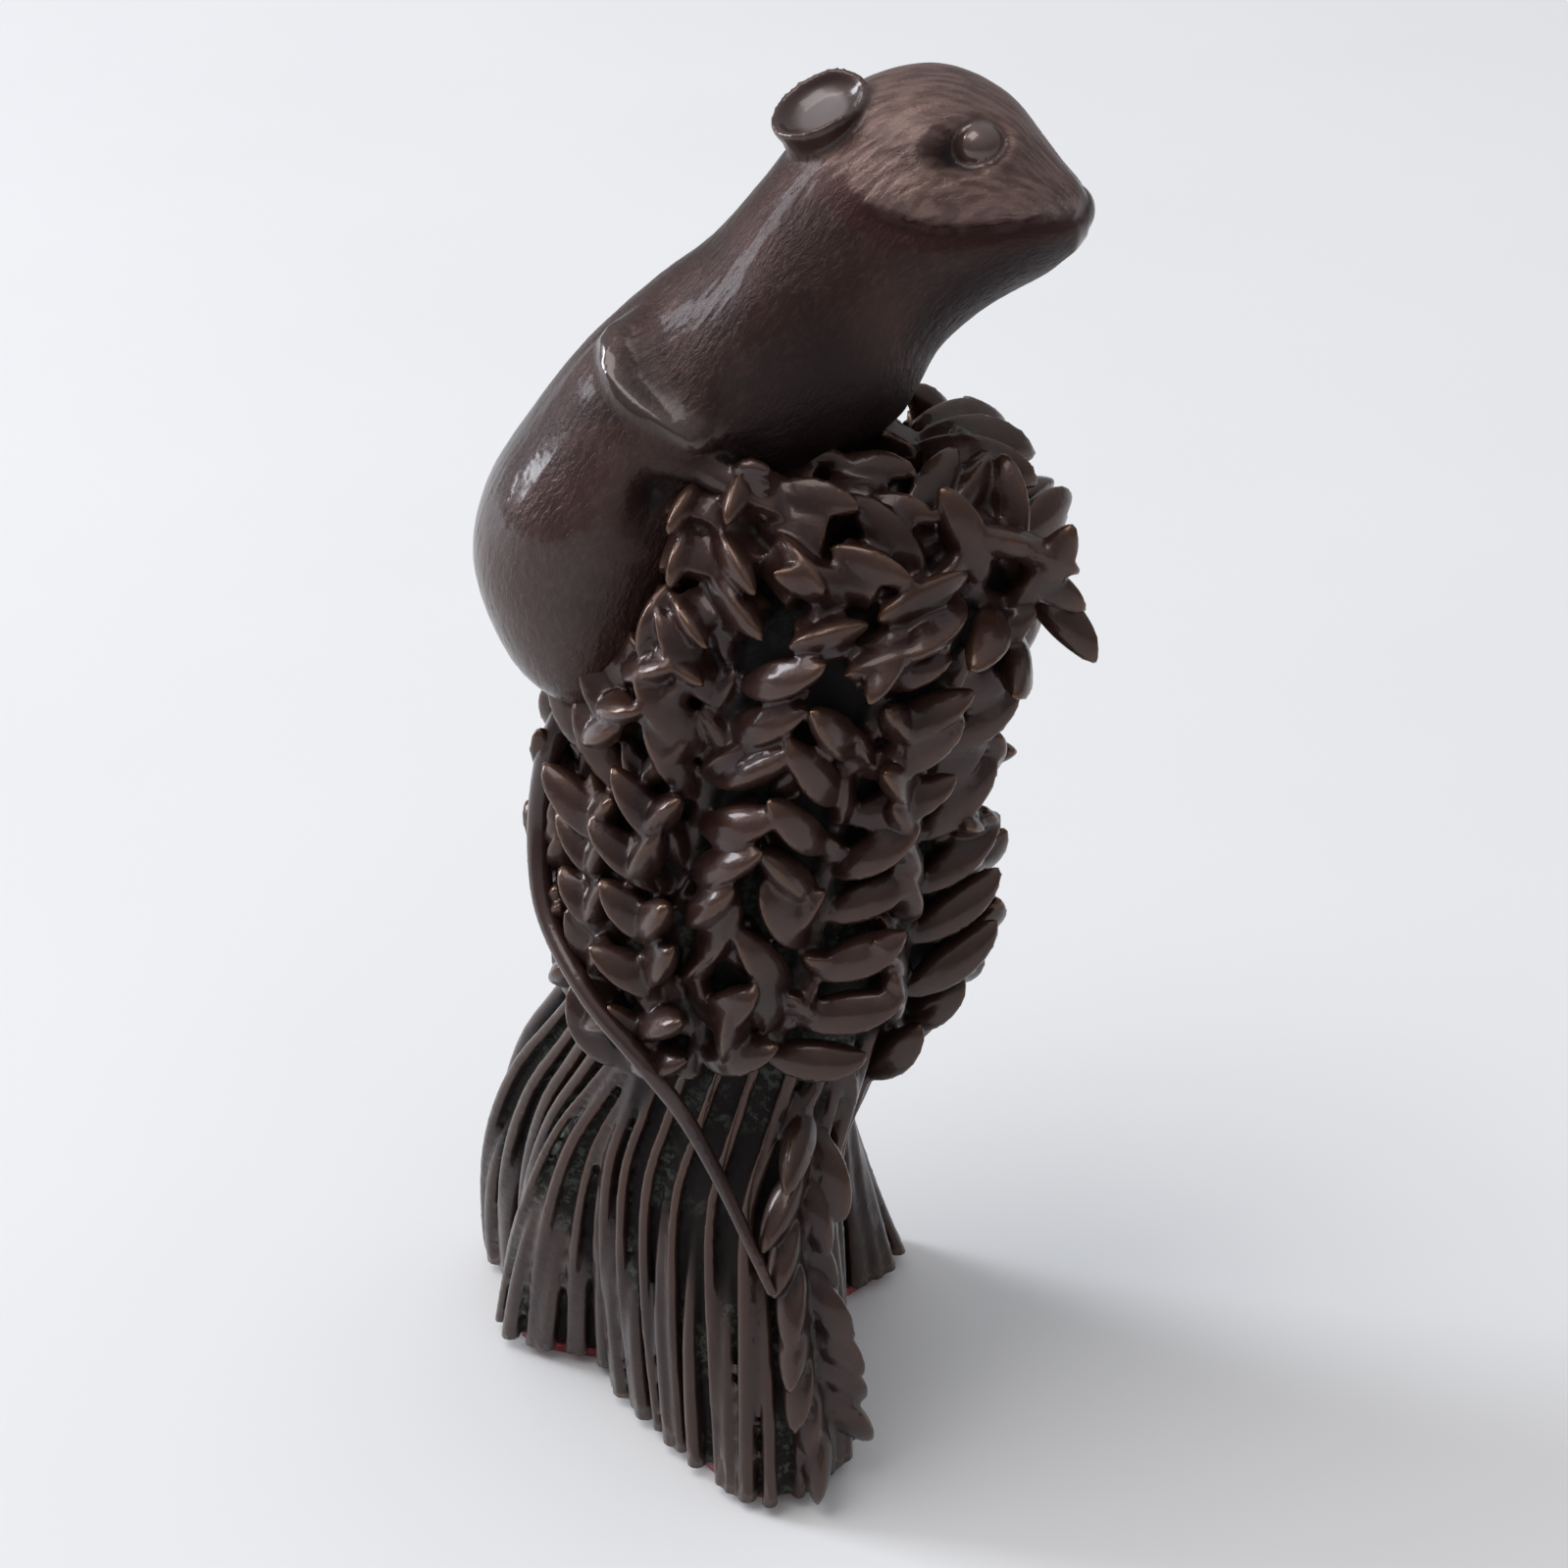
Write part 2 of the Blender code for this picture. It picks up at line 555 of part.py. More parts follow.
def add_mouse_body(bm, sections=120, sides=80):
    turns = around(sides)
    rings = []
    for back_x, back_z, belly_x, belly_z, half_width in smooth_curve(MOUSE_PROFILE, sections):
        centre = np.array(((back_x + belly_x) / 2, 0.0, (back_z + belly_z) / 2))
        rise = np.array(((back_x - belly_x) / 2, 0.0, (back_z - belly_z) / 2))
        ring = centre + np.cos(turns)[:, None] * rise
        ring[:, 1] = half_width * np.sin(turns)
        x, y, z = ring.T
        relief = face_relief(x, np.abs(y), z) + haunch_relief(x, np.abs(y), z)
        ring = ring + unit(ring - centre) * relief[:, None]
        rings.append(turn_head(ring))
    loft(bm, rings)


def add_eyes(bm):
    for hand in (-1, 1):
        centre = turn_head([(EYE + EYE_SINK) * (1, hand, 1)])[0]
        ball(bm, centre, np.full(3, EYE_DIAMETER / 2), 20, 28)


def add_mouse_ears(bm):
    """Each ear is a shallow cup with a rolled rim that melts into the head."""
    rows = ((1.30, -1.90), (1.10, -1.20), (0.99, -0.70), (0.97, -0.35), (1.03, 0.00), (0.99, 0.13),
            (0.88, 0.08), (0.77, -0.06), (0.48, -0.20), (0.10, -0.24))
    for hand in (-1, 1):
        axis = unit(EAR_AXIS * (1, hand, 1))
        across = unit(np.cross(axis, (0.0, hand, 0.2)))
        other = 0.86 * np.cross(axis, across)
        centre = EAR_CENTRE * (1, hand, 1) + (hand > 0) * FAR_EAR_SHIFT
        headward = unit(HEAD_CENTRE - centre)
        rings = []
        for radius, rise in rows:
            ring = []
            for a in around(28):
                spoke = across * math.cos(a) + other * math.sin(a)
                sink = EAR_SINK * smoothstep(0.1, 0.7, spoke @ headward) * radius**2
                ring.append(centre + EAR_RADIUS * (axis * (rise - sink) + radius * spoke))
            rings.append(turn_head(ring))
        loft(bm, rings)


def add_feet(bm):
    """The hind feet come out of the haunches and grip the husks with curled toes."""
    for hand in (-1, 1):
        path = smooth_curve(FOOT, 24)
        line = path[:, :3] * (1, hand, 1) + (hand > 0) * FAR_FOOT_SHIFT
        tube(bm, line, path[:, 3], 20)
        for splay in np.linspace(-1.5, 1.5, TOES):
            start = line[-3] + UNIT * np.array((0.0, 0.0, 0.5 * splay))
            middle = start + UNIT * np.array((1.7, 0.9 * hand, 0.5 * splay + 0.4))
            end = middle + UNIT * np.array((1.3, 0.2 * hand, 0.4 * splay - 1.3))
            radii = UNIT * np.array((0.75, 0.72, 0.85, 0.66, 0.60, 0.66, 0.35))
            tube(bm, smooth_curve((start, middle, end), 7), radii, 8)


def add_tail(bm):
    knots = [core_point(a, h * UNIT, p * UNIT) for a, h, p in TAIL]
    path = smooth_curve([TAIL_ROOT] + knots, 70)
    share = np.linspace(0, 1, len(path))
    tube(bm, path, TAIL_DIAMETER / 2 * (1.0 - 0.62 * share**1.3), 12)


def add_mouse(bm):
    add_mouse_body(bm)
    add_eyes(bm)
    add_mouse_ears(bm)
    add_feet(bm)
    ball(bm, turn_head([NOSE])[0], NOSE_RADII)
    add_tail(bm)


def new_object(name, bm):
    bmesh.ops.recalc_face_normals(bm, faces=bm.faces)
    mesh = bpy.data.meshes.new(name)
    bm.to_mesh(mesh)
    bm.free()
    item = bpy.data.objects.new(name, mesh)
    bpy.context.scene.collection.objects.link(item)
    return item


def apply_modifiers(item):
    """Bake the modifiers into the object's own mesh."""
    graph = bpy.context.evaluated_depsgraph_get()
    mesh = bpy.data.meshes.new_from_object(item.evaluated_get(graph))
    item.modifiers.clear()
    item.data = mesh


def skin(item, voxel):
    """Fuse all that overlaps into one skin, and soften it a little as wax would be."""
    remesh = item.modifiers.new("Remesh", "REMESH")
    remesh.mode = "VOXEL"
    remesh.voxel_size = voxel
    soften = item.modifiers.new("Smooth", "SMOOTH")
    soften.factor = 0.5
    soften.iterations = 2
    apply_modifiers(item)


def keep_largest_shell(item):
    """Drop sealed pockets and loose scraps, so that one closed shell is left."""
    bm = bmesh.new()
    bm.from_mesh(item.data)
    unseen = set(bm.verts)
    shells = []
    while unseen:
        stack = [unseen.pop()]
        shell = list(stack)
        while stack:
            for edge in stack.pop().link_edges:
                for vert in edge.verts:
                    if vert in unseen:
                        unseen.remove(vert)
                        stack.append(vert)
                        shell.append(vert)
        shells.append(shell)
    shells.sort(key=len)
    for shell in shells[:-1]:
        bmesh.ops.delete(bm, geom=shell, context="VERTS")
    bm.to_mesh(item.data)
    bm.free()


def cut_flat(item, height):
    """Saw the piece off level at its foot."""
    bm = bmesh.new()
    bm.from_mesh(item.data)
    geometry = bm.verts[:] + bm.edges[:] + bm.faces[:]
    cut = bmesh.ops.bisect_plane(
        bm, geom=geometry, dist=1e-7, plane_co=(0, 0, height), plane_no=(0, 0, 1), clear_inner=True
    )
    edges = [e for e in cut["geom_cut"] if isinstance(e, bmesh.types.BMEdge)]
    bmesh.ops.triangle_fill(bm, edges=edges, use_dissolve=False)
    bmesh.ops.recalc_face_normals(bm, faces=bm.faces)
    bm.to_mesh(item.data)
    bm.free()


def thin_out(item, triangles):
    """Collapse the flattest edges until so many triangles are left."""
    faces = sum(len(p.vertices) - 2 for p in item.data.polygons)
    decimate = item.modifiers.new("Decimate", "DECIMATE")
    decimate.ratio = min(1.0, triangles / faces)
    decimate.use_collapse_triangulate = True
    apply_modifiers(item)


def plain_material(name, colour, roughness, metallic):
    material = bpy.data.materials.new(name)
    material.use_nodes = True
    shader = material.node_tree.nodes["Principled BSDF"]
    shader.inputs["Base Color"].default_value = (*colour, 1.0)
    shader.inputs["Roughness"].default_value = roughness
    shader.inputs["Metallic"].default_value = metallic
    return material


def build_casting():
    bm = bmesh.new()
    add_sheaf(bm)
    add_mouse(bm)
    item = new_object("mouse_on_sheaf", bm)
    skin(item, VOXEL)
    keep_largest_shell(item)
    thin_out(item, CASTING_TRIANGLES)
    cut_flat(item, BASE)
    keep_largest_shell(item)
    item.data.materials.append(plain_material("bronze", (0.075, 0.042, 0.032), 0.36, 0.85))
    item.data.shade_smooth()
    item.data.set_sharp_from_angle(angle=math.radians(50))
    return item


def build_felt():
    """The felt follows the feet's outline, a little smaller, and lies flat on the ground."""
    bm = bmesh.new()
    angles = even_angles(0.0, 72)
    outline = [core_point(a, 0.0, STALK_DIAMETER / 2 - FELT_INSET) for a in angles]
    face = bm.faces.new([bm.verts.new((x, y, 0.0)) for x, y, z in outline])
    raised = bmesh.ops.extrude_face_region(bm, geom=[face])
    verts = [v for v in raised["geom"] if isinstance(v, bmesh.types.BMVert)]
    bmesh.ops.translate(bm, verts=verts, vec=(0, 0, FELT_THICKNESS))
    item = new_object("felt_pad", bm)
    item.data.materials.append(plain_material("felt", (0.30, 0.012, 0.018), 0.95, 0.0))
    return item


clear_scene()
build_casting()
build_felt()
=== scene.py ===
"""The looks of a bronze harvest mouse on a sheaf of wheat, standing on a felt pad.

Metres, +Z up. The mouse looks along +X. The origin is on the ground, under the middle of
the sheaf. Angles round the sheaf are in degrees: 0 faces -Y, and 90 faces +X.
"""

import math

import bmesh
import bpy
import numpy as np
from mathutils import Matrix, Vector, kdtree
from mathutils.bvhtree import BVHTree
from mathutils.noise import noise as noise_value


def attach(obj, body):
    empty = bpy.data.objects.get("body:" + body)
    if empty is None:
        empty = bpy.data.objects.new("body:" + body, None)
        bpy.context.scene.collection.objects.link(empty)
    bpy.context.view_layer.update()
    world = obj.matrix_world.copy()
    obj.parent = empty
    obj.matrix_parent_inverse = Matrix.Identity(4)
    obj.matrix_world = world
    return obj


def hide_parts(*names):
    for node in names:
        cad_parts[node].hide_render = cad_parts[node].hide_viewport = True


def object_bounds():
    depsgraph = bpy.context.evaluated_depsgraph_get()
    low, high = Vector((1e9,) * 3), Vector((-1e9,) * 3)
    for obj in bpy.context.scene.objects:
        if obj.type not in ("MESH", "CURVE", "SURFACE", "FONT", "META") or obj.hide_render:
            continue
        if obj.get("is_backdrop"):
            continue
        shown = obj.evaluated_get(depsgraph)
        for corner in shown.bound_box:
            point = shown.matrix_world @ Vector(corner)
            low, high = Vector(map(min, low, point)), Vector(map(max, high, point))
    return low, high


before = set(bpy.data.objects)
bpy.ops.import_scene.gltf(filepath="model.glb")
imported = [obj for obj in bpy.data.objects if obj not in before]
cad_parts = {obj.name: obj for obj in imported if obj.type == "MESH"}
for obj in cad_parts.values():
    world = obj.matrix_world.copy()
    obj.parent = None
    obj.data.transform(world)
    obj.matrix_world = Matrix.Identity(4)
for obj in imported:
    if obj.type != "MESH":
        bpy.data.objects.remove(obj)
CAD_LOW, CAD_HIGH = (np.array(corner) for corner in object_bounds())

# How finely the two bronze pieces are skinned, and how many triangles each keeps
MOUSE_VOXEL = 0.00026
SHEAF_VOXEL = 0.00030
PIECE_TRIANGLES = 196000

# Driving sizes
HEIGHT = 0.130
HUSK_LENGTH = 0.0104
HUSK_WIDTH = 0.0034
HUSK_DEPTH = 0.0027
STALK_DIAMETER = 0.0020
TAIL_DIAMETER = 0.0026
EYE_DIAMETER = 0.0040
FELT_THICKNESS = 0.0010
FELT_GAP = 0.0003

# The free form is laid out 130 units high: a table in units times UNIT is in metres
UNIT = HEIGHT / 130
BASE = FELT_THICKNESS + FELT_GAP

# The mouse in profile, from tail root to nose: back (x, z), belly (x, z), half width (y)
MOUSE_PROFILE = UNIT * np.array([
    (-12.6, 75.0, -8.6, 73.6, 2.6),
    (-16.3, 79.9, -4.0, 75.0, 8.4),
    (-18.4, 86.8, 1.5, 81.5, 11.0),
    (-17.2, 93.3, 4.0, 88.0, 11.6),
    (-13.5, 99.4, 6.5, 92.5, 11.4),
    (-8.6, 105.8, 10.0, 95.5, 10.8),
    (-2.6, 111.5, 14.2, 97.8, 10.4),
    (2.3, 115.6, 18.0, 101.0, 10.0),
    (6.1, 119.8, 20.6, 106.4, 9.6),
    (9.9, 124.6, 23.4, 109.4, 9.6),
    (14.4, 128.3, 25.8, 111.2, 9.8),
    (20.0, 129.6, 27.8, 112.4, 9.5),
    (25.3, 127.7, 29.6, 113.5, 8.2),
    (29.0, 123.8, 30.9, 114.6, 6.0),
    (31.3, 120.9, 31.8, 115.4, 3.9),
    (32.6, 119.4, 32.6, 116.6, 2.0),
])

# The head leans over to the far side and turns a little to the near one, in degrees
HEAD_CENTRE = UNIT * np.array((19.5, 0.0, 120.5))
HEAD_LEAN = 18.0
HEAD_TURN = 7.0
# Where along x and z the neck starts to turn, and where the head is fully turned
HEAD_FROM = UNIT * np.array((-3.0, 100.0))
HEAD_TO = UNIT * np.array((8.0, 112.0))

# One side of the face, before the head leans
EYE = UNIT * np.array((23.1, 9.4, 123.3))
EYE_LONG = 3.5 * UNIT
EYE_TALL = 2.1 * UNIT
EYE_SLANT = math.radians(14)
EYE_SINK = UNIT * np.array((0.8, -2.5, 0.0))
SOCKET_DEPTH = 1.8 * UNIT
LID_HEIGHT = 0.32 * UNIT
MOUTH = UNIT * np.array((
    (32.2, 118.3), (31.1, 118.0), (28.9, 117.6), (26.7, 117.2), (24.6, 116.9), (21.6, 116.7),
    (18.8, 117.0), (16.6, 117.7), (14.6, 118.6),
))
MOUTH_DEPTH = 0.9 * UNIT
MOUTH_WIDTH = 0.85 * UNIT
CHEEK_HEIGHT = 0.70 * UNIT
CHEEK_WIDTH = 1.9 * UNIT
NOSE = UNIT * np.array((31.0, 0.0, 118.5))
NOSE_RADII = UNIT * np.array((2.1, 2.7, 2.2))
EAR_CENTRE = UNIT * np.array((11.1, 5.2, 126.0))
EAR_AXIS = np.array((-0.38, 0.60, 0.70))
EAR_RADIUS = 4.1 * UNIT
EAR_SINK = 0.42
# The far ear lies lower, where the photographed side hides it
FAR_EAR_SHIFT = UNIT * np.array((0.6, 2.4, -3.0))

# The haunch's raised front edge, as seen from the camera: (x, how high in the view), its
# height, and how it dies away. A view looks down by VIEW_RISE.
VIEW_RISE = math.radians(30)
HAUNCH = UNIT * np.array([
    (-2.6, 97.4), (-3.7, 96.2), (-4.5, 94.8), (-4.9, 93.0), (-5.0, 91.0), (-4.9, 89.3),
    (-4.5, 87.9), (-3.7, 86.7), (-2.5, 85.7), (-1.0, 84.8), (0.6, 84.0), (2.2, 83.1), (3.7, 82.1),
])
HAUNCH_HEIGHT = 2.3 * UNIT
HAUNCH_RIB = 0.9 * UNIT
HAUNCH_FRONT = 2.3 * UNIT
HAUNCH_BACK = 5.5 * UNIT
# Between which distances from the spine it rises out of the near and of the far flank
NEAR_FLANK = UNIT * np.array((0.5, 4.0))
FAR_FLANK = UNIT * np.array((6.0, 9.5))

# The hollow under the haunch in the same view, its radii and depth
HOLLOW = UNIT * np.array((-2.5, 78.6))
HOLLOW_RADII = UNIT * np.array((2.2, 2.3))
HOLLOW_DEPTH = 2.4 * UNIT

# The near hind foot, from the haunch to the toes: point (x, -y, z) and radius
FOOT = UNIT * np.array([
    (-3.0, 1.0, 92.0, 3.0),
    (-4.6, 4.6, 97.2, 3.2),
    (-3.4, 7.4, 100.0, 2.7),
    (-1.2, 9.4, 100.8, 2.2),
    (1.2, 10.7, 100.3, 1.8),
    (3.2, 11.6, 99.5, 1.5),
    (4.5, 12.4, 99.0, 1.2),
])
TOES = 4
# The far foot reaches further forward and lower
FAR_FOOT_SHIFT = UNIT * np.array((4.0, 0.0, -5.0))

# The sheaf's core: height, middle (x), half width (x), half depth (y)
CORE = UNIT * np.array([
    (0.0, -1.0, 7.6, 7.6),
    (18.0, -0.8, 10.8, 11.0),
    (30.0, 0.0, 12.0, 12.4),
    (38.0, 2.6, 13.2, 13.4),
    (46.0, 5.4, 14.7, 15.2),
    (50.0, 6.6, 15.7, 15.7),
    (56.0, 6.6, 15.7, 16.2),
    (68.0, 6.9, 15.4, 16.3),
    (78.0, 9.2, 15.6, 16.4),
    (86.0, 12.0, 16.4, 16.8),
    (90.0, 12.3, 16.4, 16.4),
])
SHOULDER = 84.0 * UNIT
SHOULDER_RADIUS = 9.0 * UNIT
CROWN = 7.0 * UNIT

# The stalks splay into feet. Each: where it points (degrees), reach, half spread (degrees),
# how square its sides are, the height where it starts, and how its stalks bend: under 1
# bows them outwards, and over 1 inwards
FEET = (
    (22.0, 24.6 * UNIT, 22.0, 2, 40.0 * UNIT, 0.8),
    (40.0, 21.2 * UNIT, 16.0, 4, 40.0 * UNIT, 1.0),
    (131.0, 26.4 * UNIT, 13.0, 4, 26.0 * UNIT, 1.6),
    (226.0, 26.6 * UNIT, 16.0, 4, 42.0 * UNIT, 0.70),
    (256.0, 19.4 * UNIT, 15.0, 4, 42.0 * UNIT, 0.95),
)
FEET_BLEND = 5
STALKS = 76
STALK_FAN = 0.6
# The stalks sweep sideways as they rise: where most (degrees), over what width, how far
SWEEPS = ((250.0, 42.0, 38.0), (345.0, 30.0, -12.0))
STALK_BEND = 1.0
STALK_TOP = 46.0 * UNIT
STALK_SINK = 1.1 * UNIT

# Ears of wheat that the front shows, each from stem to tip: (angle, height) along the core
FRONT_EARS = (
    ((-4, 45), (3, 49), (12, 57), (17, 64), (20, 72), (19, 79), (20, 85)),
    ((-18, 43), (-21, 50), (-26, 62), (-23, 71), (-23, 79), (-24, 86)),
    ((-44, 41), (-42, 48), (-44, 60), (-46, 72), (-50, 83)),
    ((-68, 43), (-64, 50), (-66, 61), (-68, 70)),
    ((-88, 43), (-86, 52), (-90, 62)),
    ((42, 48), (47, 56), (50, 64), (44, 74), (40, 82)),
    ((70, 84), (44, 89), (20, 90), (-2, 88)),
    ((52, 93), (66, 91), (78, 87)),
    ((60, 38), (72, 42), (82, 47)),
)
# Ears that lie over the top, round the mouse's chest: the ear, and how far it is lifted
CROWN_EARS = (
    (((26, 94), (44, 94), (62, 92)), 2.2 * UNIT),
    (((-66, 72), (-60, 79), (-54, 85)), 2.5 * UNIT),
    (((10, 102), (40, 100), (62, 96), (82, 90)), -0.5 * UNIT),
)
# Single husks below the mouse's foot and chest: base and tip (angle, height), and their lift
FOOT_HUSKS = (
    (-43, 98, 2, 98, 6.0),
    (-8, 98, 40, 96, 5.5),
    (-28, 95, 9, 94, 6.0),
    (11, 96, 36, 93, 4.5),
    (-3, 92.5, 19, 90, 5.0),
    (-20, 93, -2, 89.5, 5.0),
    (-40, 92.5, -20, 89.5, 5.5),
    (-36, 96, -29, 92, 8.0),
    (-46, 94, -43, 91, 8.0),
    (-43, 92, -40, 88.5, 6.5),
    (-38, 90.5, -16, 87, 4.0),
    (-12, 87, 10, 88.5, 4.0),
    (2, 85.5, 24, 87, 4.0),
    (9, 88.5, 36, 90, 4.0),
    (-46, 89, -47, 84, 4.5),
    (-44, 88.5, -28, 86, 4.5),
    (-47, 85.5, -28, 84, 4.0),
    (60, 101, 118, 101, 6.0),
    (72, 99, 84, 91, 5.0),
    (88, 99, 104, 91, 5.0),
    (106, 99, 122, 91, 5.0),
)
HANGING_EAR = ((32, 45), (30, 39), (29, 31), (29, 22), (32, 12), (34, 4))
BACK_EARS = 7
TOP_EARS = 4
RIB_RADIUS = 1.1 * UNIT
FILLER_PITCH = 5.0 * UNIT

# The tail hangs down the sheaf's left side and crosses its front: (angle, height, proud)
TAIL_ROOT = UNIT * np.array((-11.4, -0.5, 77.0))
TAIL = (
    (-84, 74.0, 3.4),
    (-81, 69.0, 4.4),
    (-78, 62.0, 5.0),
    (-68, 56.0, 5.2),
    (-49, 51.5, 5.2),
    (-31, 47.0, 5.0),
    (-14, 41.0, 4.2),
    (3, 35.0, 3.6),
    (14, 29.5, 3.2),
    (19, 25.0, 2.8),
)


def smooth_curve(knots, count):
    """Evenly spaced points on a Catmull-Rom curve through the knots, its ends included."""
    knots = np.asarray(knots, float)
    padded = np.vstack([2 * knots[0] - knots[1], knots, 2 * knots[-1] - knots[-2]])
    at = np.linspace(0, len(knots) - 1, count)
    span = np.minimum(at.astype(int), len(knots) - 2)
    t = (at - span)[:, None]
    a, b, c, d = (padded[span + k] for k in range(4))
    return 0.5 * (
        2 * b + (c - a) * t + (2 * a - 5 * b + 4 * c - d) * t**2 + (3 * b - a - 3 * c + d) * t**3
    )


def unit(vector):
    """The vector, or each row of an array, at length one."""
    vector = np.asarray(vector, float)
    return vector / np.linalg.norm(vector, axis=-1, keepdims=True)


def smoothstep(low, high, x):
    t = np.clip((x - low) / (high - low), 0.0, 1.0)
    return t * t * (3 - 2 * t)


def around(count):
    return np.linspace(0, 2 * math.pi, count, endpoint=False)


def loft(bm, rings):
    """A closed skin over rings of equal length, with a flat face over each end."""
    rows = [[bm.verts.new(point) for point in ring] for ring in rings]
    count = len(rows[0])
    for low, high in zip(rows, rows[1:]):
        for k in range(count):
            j = (k + 1) % count
            bm.faces.new((low[k], low[j], high[j], high[k]))
    bm.faces.new(rows[0][::-1])
    bm.faces.new(rows[-1])


def tube(bm, path, radii, sides):
    """A round closed tube along a path, its radius given at each point."""
    path = np.asarray(path)
    along = unit(np.gradient(path, axis=0))
    across = np.cross(along[0], (0.31, 0.52, 0.80))
    rings = []
    for point, direction, radius in zip(path, along, radii):
        across = unit(across - direction * (across @ direction))
        other = np.cross(direction, across)
        rings.append(
            [point + radius * (across * math.cos(a) + other * math.sin(a)) for a in around(sides)]
        )
    loft(bm, rings)


def ball(bm, centre, radii, rings=12, sides=16):
    """An ellipsoid with half axes radii along X, Y and Z."""
    rows = []
    for fall in np.linspace(0.06, math.pi - 0.06, rings):
        rows.append([
            centre + radii * np.array((
                math.sin(fall) * math.cos(a), math.sin(fall) * math.sin(a), math.cos(fall)
            ))
            for a in around(sides)
        ])
    loft(bm, rows)


CORE_CURVE = smooth_curve(CORE, 120)


def foot_reach(angle, height):
    """How far the splayed feet stand out beyond the core's round section."""
    total = 0.0
    for points, foot, spread, square, top, _ in FEET:
        away = abs((angle - points + 180.0) % 360.0 - 180.0) / spread
        rise = max(0.0, 1.0 - height / top) ** 0.65
        total += ((foot - CORE[0, 2]) * rise / (1.0 + away**square)) ** FEET_BLEND
    return total ** (1 / FEET_BLEND)


def core_point(angle, height, proud=0.0, footed=True):
    """A point on the core. Above SHOULDER the height runs on over the rounded top."""
    over = max(0.0, height - SHOULDER)
    bend = min(over / SHOULDER_RADIUS, math.pi / 2)
    inset = SHOULDER_RADIUS * (1 - math.cos(bend)) + max(0.0, over - SHOULDER_RADIUS * math.pi / 2)
    level = min(height, SHOULDER) + SHOULDER_RADIUS * math.sin(bend)
    middle, wide, deep = (np.interp(level, CORE_CURVE[:, 0], CORE_CURVE[:, k]) for k in (1, 2, 3))
    turn = math.radians(angle)
    share = 1.0 - inset / wide
    out = foot_reach(angle, height) * footed + proud * math.cos(bend)
    return np.array((
        middle + math.sin(turn) * (wide * share + out),
        -math.cos(turn) * (deep * share + out),
        level + proud * math.sin(bend),
    ))


def core_normal(angle, height, proud=0.0):
    step = 0.4 * UNIT
    round_way = core_point(angle + 2.0, height, proud) - core_point(angle - 2.0, height, proud)
    up_way = core_point(angle, height + step, proud) - core_point(angle, height - step, proud)
    return unit(np.cross(round_way, up_way))


def even_angles(height, count):
    """Angles that part the core's outline at one height into equal lengths."""
    angles = np.linspace(0, 360, 721)
    outline = np.array([core_point(a, height) for a in angles])
    steps = np.linalg.norm(np.diff(outline, axis=0), axis=1)
    run = np.concatenate([[0], np.cumsum(steps)])
    return np.interp(np.linspace(0, run[-1], count, endpoint=False), run, angles)


def girth(height):
    outline = np.array([core_point(a, height) for a in np.linspace(0, 360, 121)])
    return np.linalg.norm(np.diff(outline, axis=0), axis=1).sum()


def straw_rings(heights, count, proud):
    """Rings round the stalks, each point of which runs straight out from the core to the feet."""
    low = even_angles(0.0, count)
    high = STALK_FAN * even_angles(STALK_TOP, count) + (1 - STALK_FAN) * low
    for middle, width, sweep in SWEEPS:
        away = (low - middle + 180.0) % 360.0 - 180.0
        high = high + sweep * np.exp(-((away / width) ** 2))
    splay = np.array([core_point(a, 0.0) for a in low])
    splay -= [core_point(a, 0.0, footed=False) for a in high]
    bends = np.full(len(low), STALK_BEND)
    for points, _, spread, _, _, bend in FEET:
        away = (low - points + 180.0) % 360.0 - 180.0
        bends += (bend - STALK_BEND) * np.exp(-((away / spread) ** 2))
    rings = []
    for height in heights:
        fall = 1 - height / STALK_TOP
        share = np.where(bends < 1, 1 - (1 - fall) ** (1 / bends), fall**bends)
        ring = np.array([core_point(a, height, footed=False) for a in high])
        ring += splay * share[:, None]
        tangent = np.roll(ring, -1, axis=0) - np.roll(ring, 1, axis=0)
        outward = unit(np.cross(tangent, (0.0, 0.0, 1.0)))
        rings.append(ring + outward * proud)
    return np.array(rings), high


def add_core(bm):
    """The sheaf's body, sunk a little where the stalks stand on it."""
    heights = np.linspace(0, 0.97 * STALK_TOP, 30)
    rings, angles = straw_rings(heights, 168, -STALK_SINK)
    top = SHOULDER + SHOULDER_RADIUS * math.pi / 2 + CROWN
    straight = np.linspace(STALK_TOP, SHOULDER, 30)
    upper = np.concatenate([straight, np.linspace(SHOULDER, top, 20)[1:]])
    loft(bm, list(rings) + [[core_point(a, height) for a in angles] for height in upper])


def add_stalks(bm):
    """Straws from the waist down. Every second one starts lower, where the feet are wider."""
    heights = np.linspace(0.0, STALK_TOP, 20)
    rings = straw_rings(heights, STALKS, 0.0)[0]
    sunk = straw_rings(heights, STALKS, -STALK_SINK - STALK_DIAMETER / 2)[0]
    beside = np.roll(rings, -1, axis=1) - rings
    rng = np.random.default_rng(3)
    for k in range(STALKS):
        radius = STALK_DIAMETER / 2 * rng.uniform(0.60, 1.20)
        sway = rng.uniform(-0.4, 0.4) + rng.uniform(-0.3, 0.3) * np.linspace(-1, 1, len(heights))
        path = rings[:, k] + beside[:, k] * sway[:, None]
        radii = radius * np.linspace(1.0, 0.75, len(path))
        end = len(path) if k % 2 == 0 else rng.integers(10, 17)
        if k % 2:
            fade = np.clip((np.arange(len(path)) / (end - 1)), 0, 1) ** 3
            path = path + (sunk[:, k] - path) * fade[:, None]
            radii = radii * (1 - 0.5 * fade)
        tube(bm, path[:end], radii[:end], 8)


